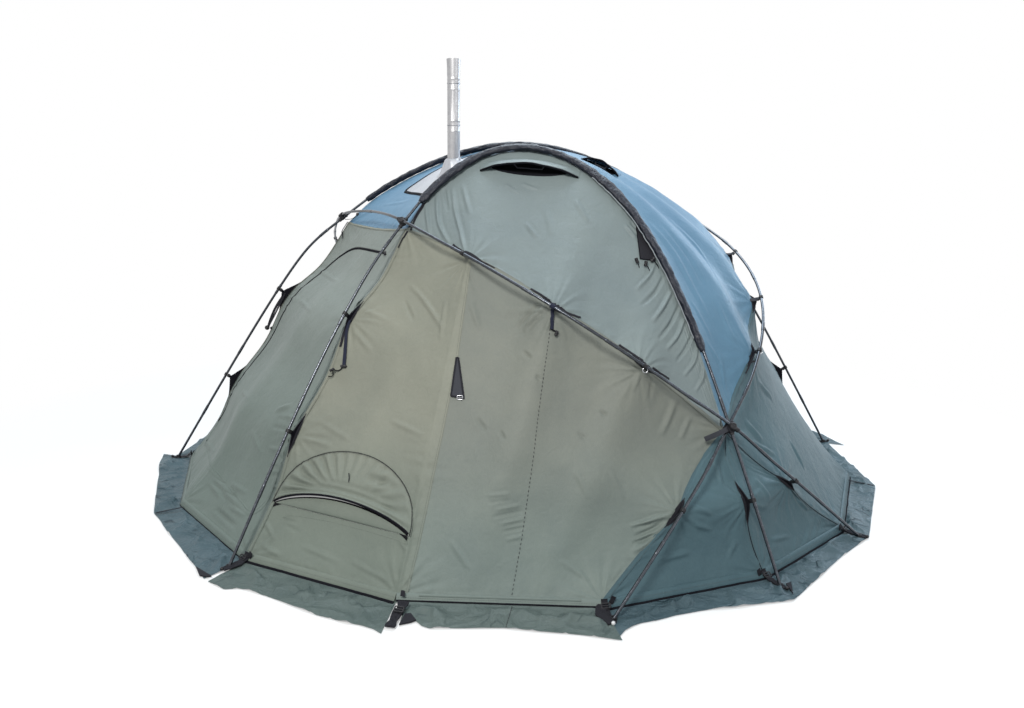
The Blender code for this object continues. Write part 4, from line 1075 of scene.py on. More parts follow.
def declareSheet(piece, grid, scale=1.0):
    across, up = gridLengths(grid)
    width, length = float(across[:, -1].max()) * scale, float(up[-1].max()) * scale
    area = meshArea(piece)
    if area < 0.3 * width * length:
        width *= area / (0.32 * width * length)
    while area > width * length:
        width *= 1.02


cloth, clothNormals, clothTrees, outlines = {}, {}, {}, {}

# the seam between the wall's lit tone and its shaded tone, a little to the right of the panels' own edge; both
# tones are painted light
ventSeamPixels = [(470, 264), (457, 356), (449.6, 395), (440.7, 440), (418, 546), (406.8, 592), (399.5, 600)]
panelLooks = {"wall_door": "door", "wall_vent": "wall", "wall_front": "front", "wall_upper": "upper",
              "wall_corner": "side", "wall_side": "side", "roof_strip": "roof"}


def ellipse(width, height, count=40):
    angles = np.arange(count) * 2 * math.pi / count
    return np.stack([width / 2 * np.cos(angles), height / 2 * np.sin(angles)], -1)


def doorOutline(place):
    legFree = [place.flat(p) for p in (corner["left"], seams["leftLeg"][-1])]
    legHinge = [place.flat(p) for p in (corner["frontLeft"], seams["frontLeftLeg"][-1])]

    def onLeg(leg, height, inset):
        share = (height - leg[0][1]) / (leg[1][1] - leg[0][1])
        return np.array([leg[0][0] + (leg[1][0] - leg[0][0]) * share + inset, height])

    low = max(legFree[0][1], legHinge[0][1]) + doorSize["sill"]
    high = low + doorSize["head"]
    corners = [onLeg(legFree, low, doorSize["freeInset"]), onLeg(legHinge, low, -doorSize["hingeInset"]),
               onLeg(legHinge, high, -doorSize["hingeInset"]), onLeg(legFree, high, doorSize["freeInset"])]
    return rounded(corners, [0.05, doorSize["hingeRound"], doorSize["hingeRound"], doorSize["headRound"]])


def makeShell():
    for name, grid in baseGrids.items():
        fine = refine(grid, clothStep if name in ("wall_vent", "wall_front", "wall_upper")
                      else clothStep * 1.25)
        normal = gridNormals(fine)
        fine = fine + normal * relief(name, fine, normal)[..., None]
        normal = gridNormals(fine)
        cloth[name], clothNormals[name] = fine, normal
    holes = {}
    place = panelFrame(baseGrids["wall_door"], 0.5, 0.5, 0.3)
    outlines["door"] = (place, np.array(doorOutline(place)), "wall_door")
    place = panelFrame(baseGrids["wall_vent"], lowVent["along"], lowVent["rise"], 0.2)
    half, height = lowVent["width"] / 2, lowVent["height"]
    arc = np.array([(half * math.cos(a), height * math.sin(a)) for a in np.linspace(0, math.pi, 41)])
    outlines["low_vent_flap"] = (place, arc, "wall_vent")
    for name, panel, sizes in (("peak_vent", "wall_upper", peakVent), ("roof_vent", "roof_strip", roofVent)):
        place = panelFrame(baseGrids[panel], sizes["along"], sizes["up"], tilt=sizes["tilt"])
        outlines[name] = (place, ellipse(sizes["width"], sizes["height"]), panel)
    place = panelFrame(baseGrids["roof_strip"], stoveJack["along"], stoveJack["across"])
    wide, long = stoveJack["width"] / 2, stoveJack["length"] / 2
    corners = [(-wide, -long), (wide, -long), (wide, long), (-wide, long)]
    outlines["stove_jack"] = (place, np.array(rounded(corners, [stoveJack["round"]] * 4, 6)), "roof_strip")
    removed = {name: np.zeros((cloth[name].shape[0] - 1, cloth[name].shape[1] - 1), bool) for name in cloth}
    for name, (place, outline, panel) in outlines.items():
        holes[name] = snapTo(cloth[panel], clothNormals[panel], place, outline)
        if name != "stove_jack":
            removed[panel] |= holes[name]
    rearRemoved = {name: cells.copy() for name, cells in removed.items()}
    removed["roof_strip"] = removed["roof_strip"] | holes["stove_jack"]
    for name, grid in cloth.items():
        clothTrees[name] = gridTree(grid)
        paintedLitPart = None
        # left of that seam the front panel takes the brighter wall copy: painted light
        if name == "wall_front":
            seen = pixelOf((grid[:-1, :-1] + grid[1:, 1:]) / 2)
            xs = np.interp(seen[..., 1], [y for _, y in ventSeamPixels], [x for x, _ in ventSeamPixels])
            paintedLitPart = ("wall", seen[..., 0] < xs)
        piece = clothMesh("canvas_" + name + "_front", grid, ~removed[name], panelLooks[name], "tent", paintedLitPart)
        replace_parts(piece, name + "_front")
        if name == "roof_strip":
            other = clothMesh("canvas_" + name + "_rear", grid * halfTurn, ~rearRemoved[name],
                              panelLooks[name], "tent")
        else:
            other = turnedCopy(piece, "canvas_" + name + "_rear", "tent")
        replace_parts(other, name + "_rear")
        declareSheet(piece, grid)
        declareSheet(other, grid)
    for name, node in (("door", "door"), ("low_vent_flap", "low_vent_flap")):
        panel = outlines[name][2]
        look = "door" if name == "door" else panelLooks[panel]
        piece = clothMesh("canvas_" + name + "_front", cloth[panel], holes[name], look, node + "_front")
        other = turnedCopy(piece, "canvas_" + name + "_rear", node + "_rear")
        for thing, side in ((piece, "front"), (other, "rear")):
            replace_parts(thing, node + "_" + side)
    jack = clothMesh("heat_cloth_jack", cloth["roof_strip"], holes["stove_jack"], "heat", "tent")
    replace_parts(jack, "stove_jack")
    print("shell", {name: grid.shape[:2] for name, grid in cloth.items()})


def onCloth(name, pixels, step=0.01, lift=0.001):
    # a pixel line laid on the finished cloth: points and outward directions
    base = np.array([onPanel(name, x, y) for x, y in pixels])
    return layOn(name, spread(base, step), lift)


def layOn(name, points, lift=0.001):
    spots, outs = [], []
    for point in points:
        place, out, _, _ = clothTrees[name].find_nearest(Vector(point))
        spots.append(np.array(place))
        outs.append(np.array(out))
    outs = units(np.array(outs))
    for _ in range(2):
        outs[1:-1] = units(outs[:-2] + outs[1:-1] * 2 + outs[2:])
    return np.array(spots) + outs * lift, outs


# Poles, sleeves and hubs

def tipDistance(pole, height):
    return float(np.interp(height, pole.points[:60, 2], pole.lengths[:60]))


ferrule = dict(first=0.33, spacing=0.405, half=0.030, radius=0.0076, rim=0.0066)   # pole joints


def makePoleTubes():
    for key, pole in poles.items():
        bits = Bits()
        start = tipDistance(pole, 0.0045)
        path = pole.run(start, pole.length - start, 0.014)
        ups = domeNormal(path)
        sweep(bits, path, ups, ringSection(poleRadius, 16))
        span = sleeveSpans.get(key, (0, 0))
        nearHubs = [pole.nearest(h) for h in hubs.values()
                    if np.linalg.norm(pole.at(pole.nearest(h)) - h) < 0.05]
        for station in np.arange(ferrule["first"], pole.length - 0.2, ferrule["spacing"]):
            if span[0] - 0.06 < station < span[1] + 0.06 or min(abs(station - h) for h in nearHubs) < 0.07:
                continue
            joint = pole.run(station - ferrule["half"], station + ferrule["half"], 0.004)
            radii = np.full(len(joint), ferrule["radius"])
            radii[[0, -1]] = ferrule["rim"]
            section = np.stack([ringSection(r, 16) for r in radii])
            sweep(bits, joint, domeNormal(joint), section)
        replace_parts(bits.make("tube_" + pole.name, "pole"), pole.name)


sleeveCloth = dict(centre=0.0225, front=0.0250, taper=0.0085, besideHood=0.0065, top=0.0118, under=0.0190,
                   piping=0.0022)      # half widths, heights over and under the pole


def makeSleeves():
    for key in ("centre", "front"):
        pole = poles[key]
        start, end = sleeveSpans[key]
        path = pole.run(start - 0.008, end + 0.008, 0.008)
        count, around = len(path), 28
        ups = domeNormal(path)
        stations = np.linspace(0, end - start, count)
        hoodAt = pole.nearest(outlines["peak_vent"][0].origin) - start
        angles = np.arange(around) * 2 * math.pi / around
        section = np.zeros((count, around, 2))
        for i, s in enumerate(stations):
            ends = smoothStep(min(s, end - start - s), -0.004, 0.030)
            for k, a in enumerate(angles):
                crease = noise.noise(Vector((s * 22 + (7 if key == "front" else 31), math.cos(a) * 1.3,
                                             math.sin(a) * 1.3)))
                ridge = math.sin(s * 95 + 2.2 * math.sin(a * 2 + s * 9)
                                 + 5 * noise.noise(Vector((s * 5, 3, 8))))
                swell = 1 + 0.20 * crease + 0.06 * ridge
                full = sleeveCloth["centre"]
                if key == "front":
                    full = sleeveCloth["front"]
                    full -= sleeveCloth["taper"] * smoothStep(s / (end - start), 0.45, 0.95)
                    full -= sleeveCloth["besideHood"] * (1 - smoothStep(abs(s - hoodAt), 0.22, 0.40))
                wide = (full + 0.0035 * noise.noise(Vector((s * 6, 11, 4)))) * swell
                over = math.sin(a) > 0
                tall = sleeveCloth["top" if over else "under"] * (swell if over else 1 + 0.04 * ridge)
                shrink = 0.52 + 0.48 * ends
                section[i, k] = wide * math.cos(a) * shrink, tall * math.sin(a) * (0.75 + 0.25 * ends)
        bits = Bits()
        sweep(bits, path, ups, section)
        sleeve = bits.make("cloth_sleeve_" + key, "sleeve", angle=180)
        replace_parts(sleeve, "sleeve_" + key)
        if key == "front":
            other = turnedCopy(sleeve, "cloth_sleeve_rear", "tent")
            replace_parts(other, "sleeve_rear")
            # pale piping along its outer foot, from the crown down the right leg
            side = units(np.cross(tangents(path), ups))
            lowest = np.argmin(side[count // 2] @ eyeAhead * np.array([1, -1]))
            side = side * (1, -1)[lowest]
            part = slice(int(count * (hoodAt + 0.32) / (end - start)), int(count * 0.97))
            girth = np.abs(section[part, :, 0]).max(1)[:, None]
            strip("sleeve_piping", "trim", path[part] + side[part] * (girth + 0.0015) - ups[part] * 0.008,
                  ups[part], ringSection(0.0022, 8))


clamp = dict(radius=0.0175, groove=0.0164, wall=0.0035, saddle=0.0094, reach=0.028, collar=0.0103)


def makeHubs():
    for name, centre in hubs.items():
        out = domeNormal(centre)
        crossing = [p for p in poles.values() if np.linalg.norm(p.at(p.nearest(centre)) - centre) < 0.05]
        step = 2 * poleRadius + crossingWall
        half = ((len(crossing) - 1) * step + 2 * poleRadius) / 2 + clamp["wall"]
        bits, wide, groove = Bits(), clamp["radius"], clamp["groove"]
        profile = [(0.004, -half), (0.0125, -half), (0.0160, -half + 0.0025), (wide, -half + 0.007)]
        grooves = max(2, int(half / 0.006))
        for k in range(grooves):
            z = -half + 0.007 + (2 * half - 0.014) * k / grooves
            span = (2 * half - 0.014) / grooves
            profile += [(wide, z + span * 0.15), (groove, z + span * 0.35), (groove, z + span * 0.65),
                        (wide, z + span * 0.85)]
        profile += [(wide, half - 0.007), (0.0160, half - 0.0025), (0.0125, half), (0.009, half),
                    (0.008, half - 0.0015), (0.001, half - 0.0018)]
        lathe(bits, centre, out, profile, 40)
        for pole in crossing:
            here = pole.nearest(centre)
            reach = clamp["reach"]
            saddle = pole.run(here - reach, here + reach, 0.003)
            along = np.abs(np.linspace(-reach, reach, len(saddle)))
            radii = clamp["saddle"] - 0.0015 * smoothStep(along, 0.023, 0.028)
            sweep(bits, saddle, domeNormal(saddle), np.stack([ringSection(r, 20) for r in radii]))
            for away in (-0.022, 0.022):
                ring = pole.run(here + away - 0.0025, here + away + 0.0025, 0.001)
                sweep(bits, ring, domeNormal(ring), ringSection(clamp["collar"], 20))
        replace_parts(bits.make("clamp_" + name, "plastic", angle=35), name)


makeShell()
makePoleTubes()
makeSleeves()
makeHubs()
print("poles and sleeves")


# Skirts on the ground. Each outer edge is a list of (corner count, pixel): 0 at the run's first
# corner, 1 at its second and so on, with the spots between them where the photograph's hem turns

skirtRuns = {"door": ("left", "doorSill", "frontLeft"), "vent": ("frontLeft", "front"),
             "front": ("front", "frontRight"), "corner": ("frontRight", "sideFront", "side"),
             "side": ("side", "right", "leftTurned")}
skirtEdges = {
    "door": [(0, 164, 453), (0.15, 160, 463), (1, 154, 513), (2, 204, 578.5)],
    "vent": [(0, 208, 581), (0.09, 224, 589), (0.17, 238, 588.2), (0.23, 248, 589.8), (0.31, 262, 594.7),
             (0.41, 279, 600.8), (0.52, 299, 608), (0.63, 317, 615), (0.76, 340, 621.2), (0.88, 360, 624.9),
             (0.95, 373, 628.8), (1, 381, 633.3)],
    "front": [(0, 399, 625.2), (0.056, 411.4, 622.6), (0.074, 415.5, 620.8), (0.10, 421.6, 625.7),
              (0.14, 429.8, 628.3), (0.275, 460, 627.8), (0.48, 505, 628.2), (0.73, 560, 632.8),
              (0.82, 582, 634.8), (0.92, 603, 637.6), (1, 622.4, 639.9)],
    "corner": [(0, 618.4, 637.5), (0.025, 625, 630.3), (0.075, 634, 625.8), (0.12, 641.3, 623),
               (0.2, 655.4, 620.2),
               (0.31, 675, 615), (0.45, 699, 610.8), (0.65, 733.5, 607.2), (0.83, 766, 603.3),
               (0.98, 793.2, 600.4),
               (1, 795.6, 598.2), (1.64, 843, 555), (2, 869, 537)],
    "side": [(0, 869, 537), (1, 875, 486), (2, 823, 439)]}
skirtSkips = {"door": (0.010, 0.0), "front": (0.036, 0.0), "side": (0.0, 0.010)}


def makeSkirts():
    for name, stops in skirtRuns.items():
        base = spread(np.array(groundLine(*stops, cells=4)), 0.009)
        ends = [corner["left"] * halfTurn if stop == "leftTurned" else corner[stop] for stop in stops]
        marks = travelled(ends)
        total = np.linalg.norm(np.diff(base, axis=0), axis=1).sum()
        lengths = np.linspace(0, total, len(base))
        first, last = skirtSkips.get(name, (0.0, 0.0))
        keep = (lengths >= first) & (lengths <= total - last)
        base, lengths = base[keep], lengths[keep]
        marks = marks * total / marks[-1]
        marks[0], marks[-1] = first, total - last
        counts = np.interp(lengths, marks, np.arange(len(stops)))
        edge = np.array([onGround(x, y, 0.004) for _, x, y in skirtEdges[name]])
        hem = np.stack([np.interp(counts, [e[0] for e in skirtEdges[name]], edge[:, k]) for k in range(3)],
                       -1)
        way = (hem - base) * (1, 1, 0)
        width = np.linalg.norm(way, axis=1)
        outward = way / width[:, None]
        shade = np.array([noise.noise(Vector((s * 9, 2.0, len(name)))) for s in lengths])
        width = width + 0.003 * shade
        rows = 26
        grid = np.zeros((rows + 1, len(base), 3))
        slope = [0.0240, 0.0170, 0.0100, 0.0050,
                 0.0028] if name == "front" else [0.0180, 0.0080, 0.0060, 0.0040, 0.0028]
        for j in range(rows + 1):
            out = 0.0008 + width * j / rows
            grid[j] = base * (1, 1, 0) + outward * out[:, None]
            grid[j, :, 2] = np.interp(out, [0.0, 0.012, 0.024, 0.060, 0.30], slope)
        share = np.linspace(0, 1, rows + 1)[:, None]
        # long sharp folds and broad soft ones, flat at the ends where the feet stand
        ridges = np.maximum(1 - np.abs(ripple(grid, 4.5, 25)) * 5.0, 0) ** 1.5 * 0.030
        ridges += np.maximum(1 - np.abs(ripple(grid, 10.0, 26)) * 6.0, 0) ** 1.5 * 0.018
        puff = ridges + ripple(grid, 6.0, 21) * 0.024 + ripple(grid, 18.0, 22) * 0.006 - 0.002
        near = np.minimum(lengths - lengths[0], lengths[-1] - lengths)
        settled = (1 - 0.75 * share) * (0.15 + 0.85 * smoothStep(near, 0.010, 0.060)[None])
        grid[..., 2] += np.maximum(puff, -0.002) * smoothStep(share, 0.16, 0.42) * settled
        grid += outward[None] * (ripple(grid, 7.0, 24) * 0.003 * share)[..., None]
        grid[..., 2] = np.maximum(grid[..., 2], 0.0016)
        grid = grid[::-1]
        cells = np.ones((grid.shape[0] - 1, grid.shape[1] - 1), bool)
        # the runs turned away from the key light take the skirt copy with painted shade
        look = "skirt" if name in ("vent", "front") else "skirtShaded"
        piece = clothMesh("cloth_skirt_" + name + "_front", grid, cells, look, "tent")
        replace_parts(piece, "skirt_" + name + "_front")
        other = turnedCopy(piece, "cloth_skirt_" + name + "_rear", "tent")
        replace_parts(other, "skirt_" + name + "_rear")
        for thing, side in ((piece, "front"), (other, "rear")):
            declareSheet(thing, grid)
        skirtGrids[name] = grid


skirtGrids = {}
makeSkirts()
print("skirts")


# Rows of stitches and teeth, laid by geometry nodes along given lines

def makeRowGroup():
    group = bpy.data.node_groups.new("rowAlongLines", "GeometryNodeTree")
    for label, kind in (("Geometry", "NodeSocketGeometry"), ("Shape", "NodeSocketObject"),
                        ("Spacing", "NodeSocketFloat"), ("Size", "NodeSocketFloat"),
                        ("Material", "NodeSocketMaterial")):
        group.interface.new_socket(label, in_out="INPUT", socket_type=kind)
    group.interface.new_socket("Geometry", in_out="OUTPUT", socket_type="NodeSocketGeometry")
    t = Tree(group)
    given, result = t.add("NodeGroupInput"), t.add("NodeGroupOutput")
    curve = t.add("GeometryNodeMeshToCurve", Mesh=given.outputs["Geometry"])
    even = t.add("GeometryNodeResampleCurve", {"mode": "LENGTH"}, Curve=curve.outputs[0],
                 Length=given.outputs["Spacing"])
    heading = t.add("GeometryNodeInputTangent")
    turn = t.add("FunctionNodeAlignRotationToVector", {"axis": "X"}, Vector=heading.outputs[0])
    shape = t.add("GeometryNodeObjectInfo", Object=given.outputs["Shape"])
    rows = t.add("GeometryNodeInstanceOnPoints", Points=even.outputs[0], Instance=shape.outputs["Geometry"],
                 Rotation=turn.outputs[0], Scale=given.outputs["Size"])
    real = t.add("GeometryNodeRealizeInstances", Geometry=rows.outputs[0])
    finish = t.add("GeometryNodeSetMaterial", Geometry=real.outputs[0], Material=given.outputs["Material"])
    t.feed(result, Geometry=finish.outputs[0])
    return group


rowGroup = makeRowGroup()


def smallShape(name, profile, sides=6):
    bits = Bits()
    lathe(bits, np.zeros(3), (1, 0, 0), profile, sides)
    mesh = bpy.data.meshes.new(name)
    mesh.from_pydata(np.concatenate(bits.verts).tolist(), [], bits.faces)
    mesh.shade_smooth()
    return bpy.data.objects.new(name, mesh)


stitchShape = smallShape("stitch_shape", [(0.0001, -0.0024), (0.0005, -0.0018), (0.00062, 0.0),
                                          (0.0005, 0.0018), (0.0001, 0.0024)], 5)
toothShape = smallShape("tooth_shape", [(0.0006, -0.0012), (0.0022, -0.0010), (0.0022, 0.0010),
                                        (0.0006, 0.0012)], 6)


def rowAlong(name, lines, shape, spacing, look, size=1.0, paired=True):
    verts, edges = [], []
    for line in lines:
        start = len(verts)
        verts += [tuple(p) for p in line]
        edges += [(k, k + 1) for k in range(start, len(verts) - 1)]
    mesh = bpy.data.meshes.new(name + "_lines")
    mesh.from_pydata(verts, edges, [])
    holder = bpy.data.objects.new(name + "_lines", mesh)
    bpy.context.scene.collection.objects.link(holder)
    rows = holder.modifiers.new("rows", "NODES")
    rows.node_group = rowGroup
    for item in rowGroup.interface.items_tree:
        if item.in_out == "INPUT" and item.name != "Geometry":
            rows[item.identifier] = {"Shape": shape, "Spacing": float(spacing), "Size": float(size),
                                     "Material": looks[look]}[item.name]
    graph = bpy.context.evaluated_depsgraph_get()
    made = bpy.data.meshes.new_from_object(holder.evaluated_get(graph))
    bpy.data.objects.remove(holder, do_unlink=True)
    made.name = name + "_front" * paired
    piece = bpy.data.objects.new(made.name, made)
    bpy.context.scene.collection.objects.link(piece)
    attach(piece, "tent")
    if paired:
        turnedCopy(piece, name + "_rear", "tent")


def offsetLine(path, ups, sideways, outwards):
    tangent = tangents(path)
    side = units(np.cross(tangent, ups))
    return path + side * sideways + ups * outwards


# Seam tapes with their two rows of stitches

def makeSeamTapes():
    tapes, rows = {look: Bits() for look in ("wall", "front", "side")}, []
    widths = {"leftLeg": 0.016, "frontLeftLeg": 0.020, "sideFrontLeg": 0.018, "sideLeg": 0.018,
              "frontRightLeg": 0.018, "diagonalFront": 0.020, "diagonalSide": 0.018, "diagonalTop": 0.016}
    for key, width in widths.items():
        line = fineLine(seams[key], 0.012)
        ups = domeNormal(line)
        look = {"leftLeg": "wall", "frontLeftLeg": "wall", "diagonalTop": "wall",
                "diagonalFront": "front"}.get(key, "side")
        sweep(tapes[look], line, ups, tapeSection(width, 0.0020, -0.0012))
        rows += [offsetLine(line, ups, s, 0.0012) for s in (-width * 0.34, width * 0.34)]
    vent, ups = onCloth("wall_front", ventSeamPixels, 0.012, 0.0002)
    sweep(tapes["wall"], vent, ups, tapeSection(0.011, 0.0020, -0.0010))
    rows += [offsetLine(vent, ups, s, 0.0012) for s in (-0.0035, 0.0035)]
    for look, bits in tapes.items():
        bits.pair("seam_tape_" + look, look)
    folds = Bits()
    for key in ("sideFrontLeg", "sideLeg"):
        line = fineLine(seams[key], 0.012)
        sweep(folds, line, domeNormal(line), tapeSection(0.0044, 0.0014, 0.0004))
    folds.pair("seam_folds", "binding")
    rowAlong("seam_stitches", rows, stitchShape, 0.0075, "thread")
    # the stitched line down the middle of the front panel
    path, outs = onCloth("wall_front", [(550, 322), (549.6, 333), (541.6, 390), (536, 432), (531, 474),
                                        (522, 537), (513, 601)], 0.012, 0.0004)
    strip("centre_seam", "front", path, outs, tapeSection(0.0080, 0.0006, -0.001))
    rowAlong("centre_stitches", [offsetLine(path, outs, 0.0, 0.0016)], stitchShape, 0.0165, "threadDark", 2.0)


makeSeamTapes()


# Clips: hook round the pole, tab and dark gusset that carries the seam

def seamOf(key, station):
    names = {"centre": ["leftLeg"], "front": ["frontLeftLeg"] if station < 2.4 else ["sideFrontLeg"],
             "right": ["sideLeg"] if station < 1.0 else ["diagonalFront"],
             "left": ["frontRightLeg"] if station > poles["left"].length - 1.0 else ["diagonalSide"]}[key]
    return fineLine(seams[names[0]], 0.006)


def straps(bits, path, out, width, thick=0.0018):
    sweep(bits, path, out, tapeSection(width, thick, -thick))


def strapOn(bits, panel, pixels, lift, width, step=0.01):
    path, outs = onCloth(panel, pixels, step, lift)
    straps(bits, path, outs, width)
    return path


def bowed(first, last, way, count=14):
    t = np.linspace(0, 1, count)[:, None]
    return first * (1 - t) + last * t + way * np.sin(math.pi * t)


def facingRing(bits, centre, radius, wire):
    turns = np.linspace(0, 2 * math.pi, 24, endpoint=False)[:, None]
    path = centre + radius * (eyeRight * np.cos(turns) + eyeTop * np.sin(turns))
    sweep(bits, path, eyeAhead, ringSection(wire, 8), closed=True)


clip = dict(hook=0.0086, loop=0.015, gusset=0.080, archGusset=0.105, curve=1.35)


def makeClips():
    hooks, gussets, edges = Bits(), Bits(), Bits()
    frontClips = [spot for name, spot in clipSpots.items() if name not in (("centre", 2), ("centre", 3))]
    for order, (key, station) in enumerate(frontClips):
        pole = poles[key]
        point = pole.at(station)
        along = unit(pole.at(station + 0.01) - pole.at(station - 0.01))
        line = seamOf(key, station)
        middle = int(np.argmin(np.linalg.norm(line - point, axis=1)))
        down = unit(line[middle] - point)
        across = np.cross(along, down)
        angles = np.radians(np.linspace(-35, 215, 22))
        arc = np.array([point + (-down * math.sin(a) + across * math.cos(a)) * clip["hook"] for a in angles])
        section = np.array([[-0.0075, -0.0015], [0.0075, -0.0015], [0.0082, 0.0002], [0.0068, 0.0016],
                            [-0.0068, 0.0016], [-0.0082, 0.0002]])
        sweep(hooks, arc, units(arc - point), section)
        body = np.array([point + down * z for z in (0.0072, 0.0090, 0.0135, 0.0185, 0.0215)])
        sweep(hooks, body, across, np.stack([barSection(w, -0.0035, 0.0035)
                                             for w in (0.0060, 0.0085, 0.0095, 0.0090, 0.0070)]))
        loop = np.array([point + down * z + across * 0.0042 * math.cos(z * 180)
                         for z in np.linspace(0.018, 0.040, 8)])
        sweep(gussets, loop, across, tapeSection(clip["loop"], 0.0016, -0.0016))
        reach = clip["archGusset" if key in ("front", "centre") else "gusset"]
        spans = np.linalg.norm(line - line[middle], axis=1)
        chosen = [k for k in range(len(line)) if spans[k] < reach]
        base = line[chosen]
        share = spans[chosen] / reach
        tall = np.linalg.norm(line[middle] - point) - 0.024
        height = tall * (1 - share) ** clip["curve"]
        leans = units(np.array([pole.at(pole.nearest(b)) - b for b in base]))
        crimp = np.array([noise.noise(Vector((order * 3.1, k * 0.33, 1.0)))
                          for k in range(len(base))]) * 0.004
        sections = np.array([[[-0.0009, -0.003], [0.0009, -0.003], [0.0009 + c, h], [-0.0009 + c, h]]
                             for c, h in zip(crimp, np.maximum(height, 0.0005))])
        sweep(gussets, base, leans, sections)
        rim = base + leans * np.maximum(height, 0.0005)[:, None]
        sweep(edges, rim, leans, ringSection(0.0021, 6))
        # flat reinforcement sewn on the cloth beside the seam
        flat = base[np.abs(share) < 0.85]
        if len(flat) > 4:
            w = 0.011 * (1 - np.linspace(-1, 1, len(flat)) ** 2) + 0.004
            ups = domeNormal(flat)
            sweep(edges, flat + ups * 0.0012, ups, np.stack([tapeSection(2 * x, 0.0012) for x in w]))
    for bits, name, look in ((hooks, "clip_hooks", "plastic"), (gussets, "clip_gussets", "binding"),
                             (edges, "clip_bindings", "webbing")):
        bits.pair(name, look)


makeClips()
print("seams and clips")


# Straps, toggles, ties and patches placed by the photograph

def toggle(bits, centre, axis, radius=0.0065, length=0.019):
    axis = unit(np.asarray(axis, float))
    half = length / 2
    lathe(bits, centre, axis, [(0.0008, -half), (radius * 0.7, -half), (radius, -half + 0.002),
                               (radius, -0.002),
                               (radius * 0.82, -0.001), (radius * 0.82, 0.001), (radius, 0.002),
                               (radius, half - 0.002), (radius * 0.7, half), (0.0008, half)], 18)


def ball(bits, centre, radius=0.009):
    angles = np.linspace(-math.pi / 2 * 0.97, math.pi / 2 * 0.97, 12)
    lathe(bits, centre, (0, 0, 1), [(radius * math.cos(a), radius * math.sin(a)) for a in angles], 20)


def cordLoop(bits, start, end, sag, radius=0.0016, aside=0.006):
    # small loop of thin line that hangs from start to end
    t = np.linspace(0, 1, 14)[:, None]
    path = bowed(start, end, np.cross(unit(end - start), eyeAhead) * aside)
    path = path - upright * (sag * 4 * t * (1 - t))
    sweep(bits, path, -eyeAhead, ringSection(radius, 8))


def clothPatch(bits, panel, corners, nu=8, nv=8, lift=0.002, thick=0.0014):
    # four pixel corners, counter-clockwise from the lower left, laid on the cloth
    a, b, c, d = [np.array(p, float) for p in corners]
    pixels = [(a * (1 - u) + b * u) * (1 - v) + (d * (1 - u) + c * u) * v
              for v in np.linspace(0, 1, nv + 1) for u in np.linspace(0, 1, nu + 1)]
    base = np.array([onPanel(panel, *p) for p in pixels])
    spots, outs = layOn(panel, base, 0.0)
    outs = np.array([clothTrees[panel].find_nearest(Vector(p))[1] for p in base])
    outs = units(outs.reshape(nv + 1, nu + 1, 3).mean((0, 1)))
    top = (spots + outs * (lift + thick)).reshape(nv + 1, nu + 1, 3)
    low = (spots + outs * (lift - 0.001)).reshape(nv + 1, nu + 1, 3)
    count = (nu + 1) * (nv + 1)
    faces = [tuple(f) for f in gridFaces(nv + 1, nu + 1)]
    faces += [tuple(k + count for k in f[::-1]) for f in gridFaces(nv + 1, nu + 1)]
    rim = list(range(nu + 1)) + [j * (nu + 1) + nu for j in range(1, nv + 1)]
    rim += [nv * (nu + 1) + i for i in range(nu - 1, -1, -1)] + [j * (nu + 1) for j in range(nv - 1, 0, -1)]
    faces += [(p, p + count, q + count, q) for p, q in zip(rim, rim[1:] + rim[:1])]
    uv = np.stack(np.meshgrid(np.linspace(0, 0.1, nu + 1), np.linspace(0, 0.1, nv + 1)), -1).reshape(-1, 2)
    bits.add(np.concatenate([top.reshape(-1, 3), low.reshape(-1, 3)]), faces, np.concatenate([uv, uv]))
    edge = top.reshape(-1, 3)[rim]
    return edge, outs


